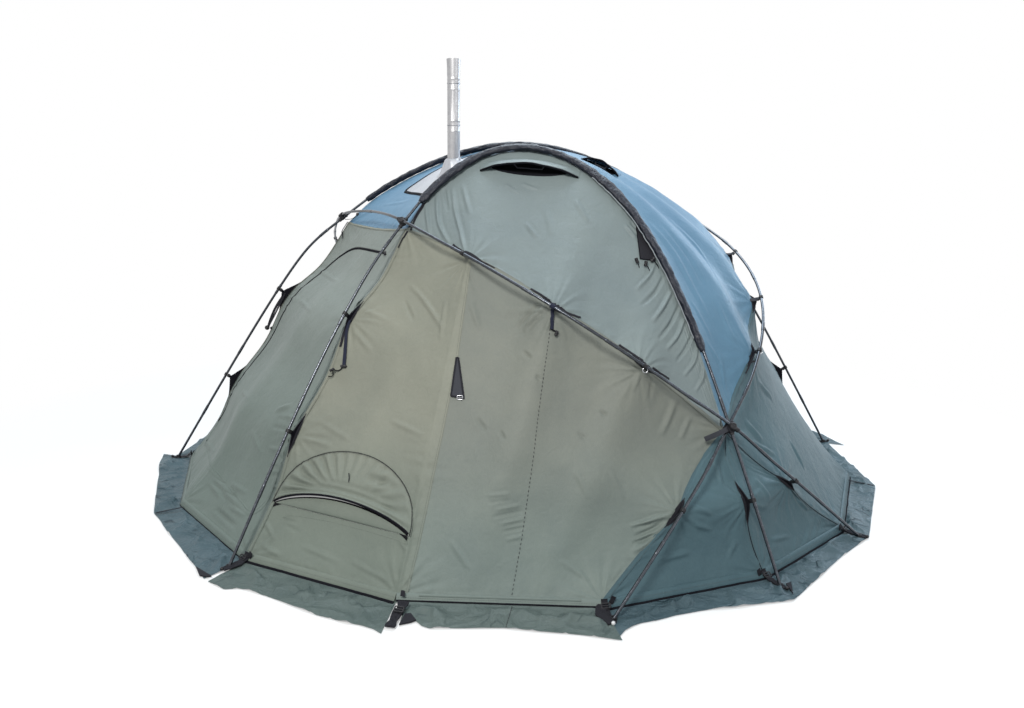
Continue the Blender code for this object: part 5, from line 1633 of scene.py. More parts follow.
def makeFrontTies():
    dark, grey, blue, hard, cords, metal = (Bits() for _ in range(6))
    # forked strap below the upper clip of the front arch's left leg
    spots = [(348, 320), (347.5, 332), (347, 345), (346, 357), (345, 366)]
    end = strapOn(blue, "wall_vent", spots, 0.007, 0.017)[-1]
    strapOn(dark, "wall_vent", [(345.5, 322), (343, 335), (341, 347)], 0.005, 0.013)
    for shift, drop in ((-0.050, 0.004), (0.046, -0.012)):
        tip = end + eyeRight * shift + eyeTop * (-0.018 + drop)
        cordLoop(cords, end, tip, 0.006, 0.0024, 0.010)
        cordLoop(cords, tip, tip + eyeRight * shift * 0.35 - eyeTop * 0.034, 0.008, 0.0022, 0.012)
        toggle(hard, tip - eyeTop * 0.006 - eyeAhead * 0.004, eyeRight * 0.8 + eyeTop * 0.3, 0.0065, 0.022)
    toggle(hard, end - eyeTop * 0.004 - eyeAhead * 0.004, eyeRight, 0.007, 0.026)
    # tie with a ball below the upper clip of the centre arch
    first = onPanel("wall_door", 283, 293)
    last = onPanel("wall_door", 268, 330)
    out = domeNormal(first)
    path = bowed(first, last, out * 0.012) + out * 0.020
    straps(dark, path, -eyeAhead, 0.014)
    straps(dark, bowed(first, last, out * 0.012 + eyeRight * 0.016) + out * 0.020 - eyeAhead * 0.004,
           -eyeAhead, 0.009)
    ball(hard, path[-1] + out * 0.004, 0.013)
    ball(hard, path[-1] + eyeRight * 0.022, 0.009)
    # tie at the middle of the long diagonal
    tip = strapOn(blue, "wall_front", [(553, 308), (552.5, 315), (551.5, 322), (551, 330)], 0.009, 0.014,
                  0.008)[-1]
    cordLoop(cords, tip, tip + eyeRight * 0.026 - eyeTop * 0.018, 0.010, 0.0024, 0.012)
    toggle(hard, tip + eyeRight * 0.020 - eyeTop * 0.016 - eyeAhead * 0.004, eyeTop + eyeRight * 0.4, 0.0068,
           0.022)
    pole = poles["right"]
    wrap = pole.run(diagonalClips[1] - 0.010, diagonalClips[1] + 0.010, 0.004)
    sweep(blue, wrap, domeNormal(wrap), ringSection(0.0108, 16))
    # metal loop at the lower clip of the long diagonal
    spot = pole.at(diagonalClips[0])
    facingRing(metal, spot - eyeTop * 0.016, 0.010, 0.0015)
    # charcoal tail at the triple crossing
    hub = hubSideRight + domeNormal(hubSideRight) * 0.012
    tail = hub - eyeRight * 0.110 - eyeTop * 0.052
    straps(grey, bowed(hub, tail, eyeAhead * -0.012), -eyeAhead, 0.021, 0.0022)
    axis = domeNormal(hubSideRight)
    first = unit(np.cross(upright, axis))
    turns = np.linspace(0, 4.4 * math.pi, 60)[:, None]
    around = first * np.cos(turns) + np.cross(axis, first) * np.sin(turns)
    wind = hubSideRight + axis * (0.016 - 0.030 * np.arange(60)[:, None] / 60) + 0.0196 * around
    sweep(dark, wind, axis, tapeSection(0.010, 0.002))
    # reinforcement behind the cloth where the five seams meet
    behind = eye + pixelRay(720.5, 422.5) * (np.linalg.norm(onPanel("wall_upper", 716, 419) - eye) + 0.025)
    disc = Bits()
    lathe(disc, behind, -eyeAhead, [(0.001, -0.001), (0.020, -0.001), (0.020, 0.001), (0.001, 0.001)], 24)
    disc.pair("hub_patch", "upper")
    # strap and toggle beside the right crown crossing
    hub = hubCentreRight
    first, last = hub - domeNormal(hub) * 0.020, hub - eyeRight * 0.085 + eyeTop * 0.012
    straps(dark, bowed(first, last, upright * -0.010, 12), domeNormal(hub), 0.010)
    ball(hard, last, 0.010)
    # dark strips sewn on above the long diagonal, and the band from the sleeve's end
    for width, *pixels in ((0.012, (453, 245), (458, 249), (464, 253)),
                           (0.009, (463, 253), (478, 260), (495, 268)),
                           (0.010, (424, 203), (417, 217), (409, 231), (401, 246)),
                           (0.009, (531, 289), (541, 295), (550, 301)),
                           (0.009, (558, 310), (569, 314), (580, 318)),
                           (0.010, (619, 345), (632, 354), (643, 361)),
                           (0.010, (652, 368), (660, 373), (669, 379))):
        strapOn(dark, "wall_upper", pixels, 0.003, width)
    # straps by the left crown crossing
    strapOn(dark, "wall_upper", [(424, 204), (418, 214), (410, 227)], 0.006, 0.008)
    strapOn(dark, "wall_vent", [(408, 232), (403, 240), (399, 248)], 0.006, 0.008)
    strapOn(dark, "wall_door", [(344, 221), (342, 230), (343, 239)], 0.008, 0.008, 0.008)
    # ring, thin strap and wide grey strap on the side
    path = strapOn(dark, "wall_side", [(757.5, 352), (749, 361), (741, 371)], 0.010, 0.008)
    facingRing(metal, path[0], 0.011, 0.0016)
    for station, length, width in ((sideClips[1], 0.055, 0.022), (sideClips[2], 0.070, 0.018)):
        left = poles["left"]
        spot = left.at(left.length - station)
        path = np.array([spot - eyeRight * length * t - domeNormal(spot) * (0.012 + 0.020 * t)
                         for t in np.linspace(0, 1, 9)])
        straps(grey, path, domeNormal(spot), width)
    # mesh pocket with cord locks under the right end of the front sleeve
    edge, out = clothPatch(dark, "wall_upper", [(640, 259), (655, 261), (653, 251), (636, 226)], 6, 10, 0.003)
    sweep(cords, np.vstack([edge, edge[:1]]), out, ringSection(0.0022, 8))
    for x, y, dx in ((636, 262, -0.4), (645, 265, 0.2), (652, 261, 0.9)):
        spot = onPanel("wall_upper", x, y) + out * 0.012
        toggle(hard, spot, eyeTop + eyeRight * dx, 0.0075, 0.024)
        cordLoop(cords, spot, spot + eyeRight * dx * 0.02 - eyeTop * 0.055, 0.010, 0.0020, 0.016)
    # three-cornered guy patch on the seam, with its loop and buckle
    edge, out = clothPatch(grey, "wall_front", [(451, 396), (464, 399), (458.4, 358), (456.4, 358)], 6, 12,
                           0.002)
    sweep(dark, np.vstack([edge, edge[:1]]), out, tapeSection(0.0075, 0.0014, 0.0))
    spot = onPanel("wall_front", 460, 398) + out * 0.006
    frameLoop(metal, spot, eyeRight, eyeTop, out, 0.022, 0.016)
    cordLoop(cords, spot, spot - eyeTop * 0.030 + eyeRight * 0.004, 0.006, 0.0018, 0.008)
    for bits, name, look in ((dark, "ties_black", "webbing"), (grey, "ties_grey", "webbingGrey"),
                             (blue, "ties_blue", "webbingBlue"), (hard, "toggles", "plastic"),
                             (cords, "toggle_cords", "binding"), (metal, "tie_rings", "metal")):
        bits.pair(name, look)


def frameLoop(bits, centre, along, up, out, wide, tall, bar=0.0016, middle=True):
    # ladder-lock frame: rounded rectangle with a bar across
    outline = np.array(rounded([(-wide / 2, -tall / 2), (wide / 2, -tall / 2), (wide / 2, tall / 2),
                                (-wide / 2, tall / 2)], [0.004] * 4, 5))
    path = np.array([centre + along * a + up * b for a, b in outline])
    sweep(bits, path, out, ringSection(bar, 8, 1.3), closed=True)
    if middle:
        sweep(bits, np.array([centre - along * wide / 2, centre, centre + along * wide / 2]), out,
              ringSection(bar, 8))


makeFrontTies()
print("ties")


# Door and low vent edges

def outlinePath(name, closed=True, inset=0.0, step=0.012):
    place, outline, panel = outlines[name]
    loop = np.vstack([outline, outline[:1]]) if closed else outline
    flat = spread(loop, step)
    if closed:
        flat = flat[:-1]
    points, outs = [], []
    for a, b in flat:
        hit = place.dropped(clothTrees[panel], a, b)
        points.append(np.array(hit[0]))
        outs.append(np.array(hit[1]))
    outs = units(np.array(outs))
    for _ in range(3):
        outs = units(np.roll(outs, 1, 0) + 2 * outs + np.roll(outs, -1, 0)) if closed else outs
    points = np.array(points)
    tangent = units(np.roll(points, -1, 0) - np.roll(points, 1, 0)) if closed else tangents(points)
    side = units(np.cross(tangent, outs))
    return points + side * inset, outs


def makeDoorTrim():
    points, outs = outlinePath("door", True, 0.009)
    strip("door_storm_edge", "door", points + outs * 0.0005, outs, tapeSection(0.016, 0.0022, -0.001),
          closed=True)
    points, outs = outlinePath("door", True, -0.005)
    count = len(points)
    first, last = (int(np.argmin(np.linalg.norm(pixelOf(points) - p, axis=1)))
                   for p in ((393, 252), (218.6, 419)))
    dark = np.arange(first, last + 1 if last > first else last + 1 + count) % count
    plain = np.arange(last, first + 1 if first > last else first + 1 + count) % count
    for name, run, look, width in (("door_zip_tape", dark, "binding", 0.013),
                                   ("door_zip_cover", plain, "door", 0.009)):
        strip(name, look, points[run] + outs[run] * 0.0004, outs[run], tapeSection(width, 0.0018, -0.001),
              body="door")
    points, outs = outlinePath("door", True, 0.0)
    rowAlong("door_zip_teeth", [points[dark] + outs[dark] * 0.0014], toothShape, 0.006, "plastic")
    # sliders and pull cords near the free edge's foot and the head
    bits, cords = Bits(), Bits()
    for index in (int(dark[-1]), int(dark[2])):
        spot, out = points[index], outs[index]
        ahead = unit(points[(index + 1) % len(points)] - points[index - 1])
        sweep(bits, np.array([spot - ahead * 0.012, spot - ahead * 0.008, spot, spot + ahead * 0.008,
                              spot + ahead * 0.012]),
              out, np.stack([barSection(w, 0.0, 0.005, 0.9)
                             for w in (0.004, 0.0065, 0.0075, 0.0065, 0.004)]))
        sweep(cords, np.array([spot + out * 0.006, spot + out * 0.010 - upright * 0.02,
                               spot + out * 0.008 - upright * 0.045,
                               spot + out * 0.007 - upright * 0.07]), out, ringSection(0.0017, 8))
    bits.pair("door_sliders", "plastic", "door")
    cords.pair("door_pulls", "webbingGrey", "door")


def makeLowVentTrim():
    points, outs = outlinePath("low_vent_flap", False, 0.003)
    strip("low_vent_seam", "wall", points + outs * 0.0006, outs, tapeSection(0.010, 0.0018, -0.001))
    strip("low_vent_zip", "binding", points + outs * 0.0014, outs, tapeSection(0.0030, 0.0008, 0.0))
    rowAlong("low_vent_stitches", [offsetLine(points, outs, s, 0.0022) for s in (-0.0035, 0.0036)],
             stitchShape, 0.0075, "thread")


lowFlap = dict(arch=0.072, lip=0.034, belly=0.016, pinch=0.0085, pocket=0.008, edge=0.0046)


def shapeLowFlap():
    # the flap bellies out over a deep fold that arches above its straight lower edge
    place, _, panel = outlines["low_vent_flap"]
    half, height = lowVent["width"] / 2, lowVent["height"]
    arch = lambda a: lowFlap["arch"] * np.clip(1 - a ** 2, 0, 1) ** 0.8
    for side, turn in (("front", np.ones(3)), ("rear", halfTurn)):
        piece = bpy.data.objects["canvas_low_vent_flap_" + side]
        mesh = piece.data
        co = np.empty(len(mesh.vertices) * 3)
        mesh.vertices.foreach_get("co", co)
        co = co.reshape(-1, 3) * turn
        flat = place.flat(co)
        a, b = flat[:, 0] / half, np.maximum(flat[:, 1], 0)
        top = np.maximum(height * np.sqrt(np.clip(1 - a ** 2, 0.0, 1)), 1e-4)
        body = np.clip(1 - a ** 2, 0, 1) ** 0.7
        share = np.clip(b / top, 0, 1)
        lift = arch(a) * (1 - share) ** 2
        lip = lowFlap["lip"] * body * np.exp(-(b / 0.045) ** 2)
        folds = 0.0050 * body * np.sin(b * 150 + 2.6 * a
                                       + 0.6) * np.exp(-(b / 0.09) ** 2) * smoothStep(b, 0.008, 0.02)
        belly = lowFlap["belly"] * body * np.exp(-((b - 0.11) / 0.09) ** 2)
        angle = np.arctan2(b, flat[:, 0])
        reach = np.hypot(flat[:, 0], b * half / height) / half
        pinch = lowFlap["pinch"] * np.sin(angle * 34 + 3 * a) * smoothStep(reach, 0.40,
                                                                 0.80) * (1 - smoothStep(reach, 0.94, 1.0))
        pinch *= 0.35 + 0.65 * smoothStep(-a, -0.1, 0.5)
        # the pocket fold at the top right
        pocket = lowFlap["pocket"] * np.exp(-((a - 0.42) / 0.16) ** 2) * np.sin((b - 0.12)
                                                                    * 90) * np.exp(-((b - 0.175) / 0.05) ** 2)
        rim = 1 - smoothStep(share, 0.88, 1.0)
        co = co + place.out * ((lip + folds + belly + pocket) * rim
                               + pinch)[:, None] + place.up * lift[:, None]
        mesh.vertices.foreach_set("co", (co * turn).ravel())
        mesh.update()
    # the rolled edge, coloured black as painted shadow of the fold; a black sheet below it as painted shadow in
    # the fold; and the cloth under that
    xs = np.linspace(-half * 0.985, half * 0.985, 90)
    base = []
    for x in xs:
        hit = place.dropped(clothTrees[panel], x, 0.001)
        base.append(np.array(hit[0]))
    base = np.array(base)
    a = (xs / half)[:, None]
    rise, stand = arch(a), lowFlap["lip"] * np.clip(1 - a ** 2, 0, 1) ** 0.7
    edge = base + place.up * (rise + 0.0015) + place.out * (stand * 1.106 + 0.002)
    # black rolled edge: painted shadow of the deep fold under it
    strip("low_vent_lip", "binding", edge, place.out, ringSection(lowFlap["edge"], 10), body="low_vent_flap")
    # the black sheet in the fold is painted shadow
    for name, look, levels in (("low_vent_fold", "mesh",
                                ((0.0, -0.003, 0.20), (0.0, -0.0060, 0.38), (0.0, -0.024, 0.34))),
                               ("low_vent_under", "wall",
                                ((0.0, -0.010, 0.42), (-0.45, -0.006, 0.50), (-0.9, -0.002, 0.35),
                                                           (-1.0, -0.0005, 0.0)))):
        rows = []
        for down, drop, out in levels:
            rows.append(base + place.up * (rise * (1 + down) + drop * (rise > 0.004))
                        + place.out * (stand * out + 0.0012))
        grid = refine(np.array(rows[::-1]), 0.006)
        count = grid.shape[0] * grid.shape[1]
        solid = np.concatenate([grid.reshape(-1, 3), grid.reshape(-1, 3) - place.out * 0.0010])
        faces = gridFaces(*grid.shape[:2])
        across, up = gridLengths(grid)
        uvs = np.tile(np.stack([across, up], -1).reshape(-1, 2), (2, 1))
        piece = linkMesh(name + "_front", solid, np.concatenate([faces, faces[:, ::-1] + count]), looks[look],
                         "low_vent_flap_front", uvs=uvs)
        turnedCopy(piece, name + "_rear", "low_vent_flap_rear")
    # faint seam below the lip and the small loop at its top
    path, outs = onCloth("wall_vent", [(283, 517), (300, 516), (330, 521), (365, 530), (395, 539),
                                       (417, 545)], 0.01, 0.0002)
    strip("low_vent_sill", "wall", path, outs, tapeSection(0.006, 0.0012))
    path, outs = onCloth("wall_vent", [(351, 474), (351.5, 478), (351, 483)], 0.006, 0.016)
    strip("low_vent_loop", "webbing", path, outs, tapeSection(0.004, 0.0014), body="low_vent_flap")


makeDoorTrim()
makeLowVentTrim()
shapeLowFlap()
print("door and low vent")


# Vents: mesh behind the hole, bound rim, and the stiffened hood over it

def heightOn(tree, place, a, b):
    hit = place.dropped(tree, a, b)
    return 0.4 - hit[3] if hit[0] is not None else 0.0


def hoodGrid(place, panel, sizes):
    baseTree = gridTree(baseGrids[panel])
    tree = clothTrees[panel]
    root, width = sizes["height"] / 2 + sizes["lip"], sizes["hoodWidth"]
    columns, rows = 64, 20
    flat = np.zeros((rows + 1, columns + 1, 3))
    for j in range(rows + 1):
        for i in range(columns + 1):
            x, y = -1 + 2 * i / columns, 1 - j / rows
            a = x * width / 2
            b = root - sizes["sag"] * x * x - sizes["hoodReach"] * y * (1 - 0.35 * x * x)
            ground = max(heightOn(baseTree, place, a, b), heightOn(tree, place, a, b) + 0.001)
            rise = sizes["hoodRise"] * math.sin(y * math.pi / 2) * (1 - x * x)
            ripples = 0.0022 * noise.noise(Vector((a * 28, b * 40, 5.0))) * (1 - x * x)
            flat[j, i] = a, b, ground + rise * (0.96 + 0.04 * math.cos(x * 9)) + ripples + 0.0018
    return np.array([[place.point(*p) for p in row] for row in flat])


def makeVents():
    for name, sizes in (("peak_vent", peakVent), ("roof_vent", roofVent)):
        place, _, panel = outlines[name]
        grid = hoodGrid(place, panel, sizes)
        normal = gridNormals(grid)
        cells = np.ones((grid.shape[0] - 1, grid.shape[1] - 1), bool)
        hood = clothMesh("canvas_" + name + "_hood_front", grid, cells, panelLooks[panel],
                         name + "_hood_front")
        other = turnedCopy(hood, "canvas_" + name + "_hood_rear", name + "_hood_rear")
        for thing, side in ((hood, "front"), (other, "rear")):
            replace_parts(thing, name + "_hood_" + side)
            declareSheet(thing, grid)
        # thick bound edge along the open side, and a piped line where the hood is sewn on
        strip(name + "_hood_edge", "binding", grid[0] + normal[0] * 0.0005, normal[0],
              ringSection(0.0048, 10), body=name + "_hood")
        bits = Bits()
        root = np.vstack([grid[:, 0], grid[-1, 1:-1], grid[::-1, -1]])
        rootUps = np.vstack([normal[:, 0], normal[-1, 1:-1], normal[::-1, -1]])
        sweep(bits, root, rootUps, tapeSection(0.010, 0.0022, -0.001))
        bits.pair(name + "_hood_tape", panelLooks[panel])
        # mesh, drawn slightly inwards, with its bound rim
        loop, outs = outlinePath(name, True, 0.0, 0.008)
        centre = loop.mean(0) - place.out * 0.012
        rings = 7
        verts = [loop * (1 - r / rings) + centre * (r / rings) - place.out * 0.003
                 for r in range(rings)] + [centre[None]]
        count = len(loop)
        faces = ringFaces(rings - 1, count)
        faces += [((rings - 1) * count + k, (rings - 1) * count + (k + 1) % count, rings * count)
                  for k in range(count)]
        flat = place.flat(np.vstack(verts))
        net = linkMesh(name + "_mesh_front", np.vstack(verts), faces, looks["mesh"], "tent", uvs=flat)
        turnedCopy(net, name + "_mesh_rear", "tent")
        strip(name + "_rim", "binding", loop + outs * 0.0006, outs, tapeSection(0.013, 0.0020, -0.001),
              closed=True)
        # stiff strut that holds the hood up
        bits = Bits()
        for side in (-1, 1):
            a = side * sizes["width"] * 0.16
            low = place.point(a, -sizes["height"] * 0.10, heightOn(clothTrees[panel], place, a, 0.0) + 0.002)
            top = grid[4, int(32 + side * 11)]
            sweep(bits, np.array([low, (low * 2 + top) / 3, (low + top * 2) / 3,
                                  top - normal[4, 32] * 0.003]), place.along,
                  ringSection(0.0032, 10))
        a = sizes["width"] * 0.16
        bar = np.array([place.point(x, -sizes["height"] * 0.10,
                                    heightOn(clothTrees[panel], place, x, 0.0) + 0.004)
                        for x in np.linspace(-a, a, 9)])
        sweep(bits, bar, place.out, ringSection(0.0036, 10))
        bits.pair(name + "_strut", "webbingGrey", name + "_hood")


makeVents()
print("vents")


# Stove jack and pipe

def makeStove():
    place, _, panel = outlines["stove_jack"]
    points, outs = outlinePath("stove_jack", True, 0.0, 0.010)
    bits = Bits()
    sweep(bits, points + outs * 0.0006, outs, tapeSection(0.018, 0.0022, -0.001), closed=True)
    bits.make("jack_binding", "binding")
    loop = points + outs * 0.0028
    rowAlong("jack_stitches", [np.vstack([loop, loop[:1]])], stitchShape, 0.0075, "thread", paired=False)
    origin = place.origin
    cone = Bits()
    sides, rows = 48, 14
    verts = []
    for j in range(rows + 1):
        share = j / rows
        for k in range(sides):
            a = k * 2 * math.pi / sides
            radius = 0.086 - 0.050 * share ** 0.7 + 0.0022 * math.sin(a * 9) * math.sin(math.pi * share)
            x, y = origin[0] + radius * math.cos(a), origin[1] + radius * math.sin(a)
            ground = clothTrees[panel].ray_cast(Vector((x, y, 2.0)), Vector((0, 0, -1)))
            z = (ground[0].z if ground[0] is not None else origin[2]) + 0.0015
            z = z * (1 - smoothStep(share, 0.0, 1.0)) + (origin[2] + collarTop) * smoothStep(share, 0.0, 1.0)
            verts.append((x, y, z))
    cone.add(verts, ringFaces(rows, sides))
    cone.make("jack_collar", "heat")
    clamp = Bits()
    ring = np.array([(origin[0] + 0.0368 * math.cos(a), origin[1] + 0.0368 * math.sin(a),
                      origin[2] + collarTop - 0.006)
                     for a in np.arange(40) * 2 * math.pi / 40])
    centre = np.array([origin[0], origin[1], origin[2] + collarTop - 0.006])
    sweep(clamp, ring, units(ring - centre), barSection(0.005, -0.0008, 0.0008), closed=True)
    screw = centre + eyeRight * 0.030 - eyeAhead * 0.028
    toggle(clamp, screw, eyeRight, 0.0035, 0.020)
    clamp.make("jack_clamp", "metal")
    stops = [pipeFoot] + [pipeTop - step for step in pipeSteps] + [pipeTop]
    for k, name in enumerate(("pipe_lower", "pipe_middle", "pipe_top")):
        low, high = stops[k] + (0.0008 if k else 0), stops[k + 1]
        r = pipeRadius
        bits = Bits()
        profile = [(r - 0.0012, low + 0.001), (r, low)]
        if k:
            profile += [(r + 0.0016, low + 0.002), (r + 0.0016, low + 0.006), (r, low + 0.009)]
            profile += [(r, low + 0.020), (r + 0.0011, low + 0.023), (r, low + 0.026)]
        if k < 2:
            profile += [(r, high - 0.030), (r + 0.0010, high - 0.026), (r, high - 0.022), (r, high),
                        (r - 0.004, high)]
        else:
            profile += [(r, high - 0.085), (r + 0.0012, high - 0.070), (r + 0.0016, high - 0.030),
                        (r + pipeFlare, high - 0.004), (r + pipeFlare, high), (r + 0.0015, high),
                        (r - 0.0012, high - 0.05), (r - 0.0015, high - 0.10), (0.001, high - 0.104)]
        lathe(bits, np.array([origin[0], origin[1], 0.0]), upright, profile, 48)
        # the rolled seam up the sheet, a flat lap
        angle = math.radians(-118 + 20 * k)
        radial = np.array([math.cos(angle), math.sin(angle), 0.0])
        start = np.array([origin[0], origin[1], 0.0]) + radial * (r + 0.0002)
        top = high - (0.09 if k == 2 else 0.034)
        lap = np.array([start + upright * z for z in np.linspace(low + 0.03, top, 12)])
        sweep(bits, lap, radial, tapeSection(0.0060, 0.0008, -0.0004))
        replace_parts(bits.make("steel_" + name, "steel", name, angle=28), name)


collarTop = 0.052
makeStove()
print("stove")


# Ground line: dark band, foot straps with cups, buckles and corner tabs

def makeGroundTrim():
    # the wall's own foot runs out over the skirt; a dark band closes it
    bits, rows = Bits(), []
    footLooks = {"door": "door", "vent": "wall", "front": "front", "corner": "side", "side": "side"}
    for name, stops in skirtRuns.items():
        line = spread(np.array(groundLine(*stops, cells=4)), 0.012)
        wave = np.array([noise.noise(Vector((*p[:2] * 14, 3.0))) for p in line]) * 0.0022
        section = np.array([[[-0.002, -0.006], [0.014, -0.0225], [0.019, -0.0225], [0.0195 + w, -0.0180],
                             [0.0140, -0.0085 + w],
                             [0.0075, 0.0005 + w], [0.0015, 0.0075], [-0.002, 0.0075]] for w in wave])
        edging = Bits()
        sweep(edging, line, upright, section)
        edging.pair("wall_foot_" + name, footLooks[name], angle=60)
        out = np.cross(tangents(line), upright)
        raised = 0.008 if name == "front" else 0.0
        wide = {"door": 0.007, "side": 0.012, "corner": 0.012, "front": 0.009}.get(name, 0.014)
        edge = line + out * (0.0200 + wave[:, None] + (wide - 0.007) / 2
                             - raised / 2) - upright * (0.0205 - raised)
        slope = units(out + upright * 1.1)
        sweep(bits, edge, slope, tapeSection(wide, 0.0030, -0.003))
        rows.append(line + out * 0.0125 - upright * 0.0040)
        if name == "front":
            part = slice(int(len(line) * 0.12), int(len(line) * 0.90))
            high = line[part] + out[part] * 0.0062 + upright * 0.0042
            strip("ground_fold", "front", high, units(out[part] + upright * 0.5),
                  ringSection(0.0042, 10, 1.5) - (0.0, 0.0022))
    bits.pair("ground_band", "binding")
    rowAlong("ground_stitches", rows, stitchShape, 0.009, "thread")
    # the centre seam goes on as a dotted line over the skirt
    tree = gridTree(skirtGrids["front"])
    dots = []
    for t in np.linspace(0, 1, 24):
        hit = tree.ray_cast(Vector(eye), Vector(pixelRay(512 - 6 * t, 607 + 20 * t)))
        if hit[0] is not None:
            dots.append(np.array(hit[0]) + upright * 0.0012)
    rowAlong("skirt_dots", [dots], stitchShape, 0.011, "threadDark", 2.2)


def crumpled(bits, path, width, seed, height=0.008):
    # webbing bunched up on the ground: its section changes all along it
    path = catmull(np.array(path), 34)
    xs = np.linspace(-0.5, 0.5, 9)
    sections = []
    for p in path:
        wide = width * (1 + 0.5 * noise.noise(Vector((p[0] * 34, p[1] * 34, seed))))
        lift = [0.5 * height + height * noise.noise(Vector((p[0] * 60 + x * 3.0, p[1] * 60 - x * 2.0,
                                                            seed + 4.0))) for x in xs]
        top = [(x * wide, 0.0012 + up * (1 - 4 * x * x * 0.8)) for x, up in zip(xs, lift)]
        sections.append([(-0.5 * wide, -0.002), (0.5 * wide, -0.002)] + top[::-1])
    sweep(bits, path, upright, np.array(sections))


def makeCorners():
    # folded black corners between the skirts, and the webbing with a ladder-lock where no foot stands
    bits, metal = Bits(), Bits()
    for pixels, heights in (([(196, 567.5), (199.5, 576), (206, 577.5), (211.5, 577)],
                             (0.006, 0.004, 0.004, 0.008)),
                            ([(399, 625.4), (411, 623), (416, 621), (411, 614.5), (405, 614.8)],
                             (0.004, 0.004, 0.006, 0.010, 0.010)),
                            ([(786, 584.5), (793, 594.5), (791, 583)], (0.010, 0.006, 0.012))):
        low = [onGround(x, y, z) for (x, y), z in zip(pixels, heights)]
        top = [p + upright * 0.006 for p in low]
        count = len(low)
        walls = [(k, (k + 1) % count, count + (k + 1) % count, count + k) for k in range(count)]
        bits.add(low + top, [tuple(range(count - 1, -1, -1)), tuple(range(count, 2 * count))] + walls)
    across = polar(cornerAzimuths["front"] + 90.0, 1.0)
    out = polar(cornerAzimuths["front"], 1.0)
    crumpled(bits, [onGround(x, y, z) for x, y, z in ((403.5, 601.5, 0.030), (402, 606, 0.022),
                                                      (398, 612, 0.015),
                                                      (393.5, 620, 0.012), (389.5, 627, 0.010))], 0.036, 3.0)
    path, outs = onCloth("wall_front", [(405.0, 594.6), (403.8, 598), (402.6, 601.5)], 0.004, 0.022)
    sweep(bits, path, outs, tapeSection(0.022, 0.0022, -0.001))
    frameLoop(metal, onGround(399, 609, 0.030), across, unit(out - upright * 0.5), unit(upright + out * 0.5),
              0.034, 0.020, 0.0022)
    for place, seed, aside in (("frontLeft", 5.0, 0.010), ("frontRight", 7.0, -0.022),
                               ("sideFront", 9.0, 0.0), ("side", 11.0, 0.0)):
        out, across = polar(cornerAzimuths[place], 1.0), polar(cornerAzimuths[place] + 90.0, 1.0)
        path = [out * (floorRadius + r) + across * aside * s + upright * z
                for r, s, z in ((0.012, 0.3, 0.022), (0.040, 1.0, 0.015), (0.080, 0.8, 0.012),
                                (0.118, 0.1, 0.010))]
        crumpled(bits, path, {"frontRight": 0.044, "sideFront": 0.024}.get(place, 0.034), seed)
    for name in ("left", "side"):
        # a strap along the skirt's fold
        first, last = ((183.5, 507), (155.5, 512.8)) if name == "left" else ((844, 479), (873.5, 485.4))
        line = [onGround(*first, 0.022), onGround(*last, 0.010)]
        sweep(bits, spread(line, 0.012), upright, tapeSection(0.010, 0.0020, -0.001))
    bits.pair("skirt_corners", "webbing", angle=30)
    metal.pair("corner_buckle", "plastic")


foot = dict(strap=0.025, tab=0.019, tail=0.020, ball=0.0078)   # webbing, reach beyond the pole, toggle


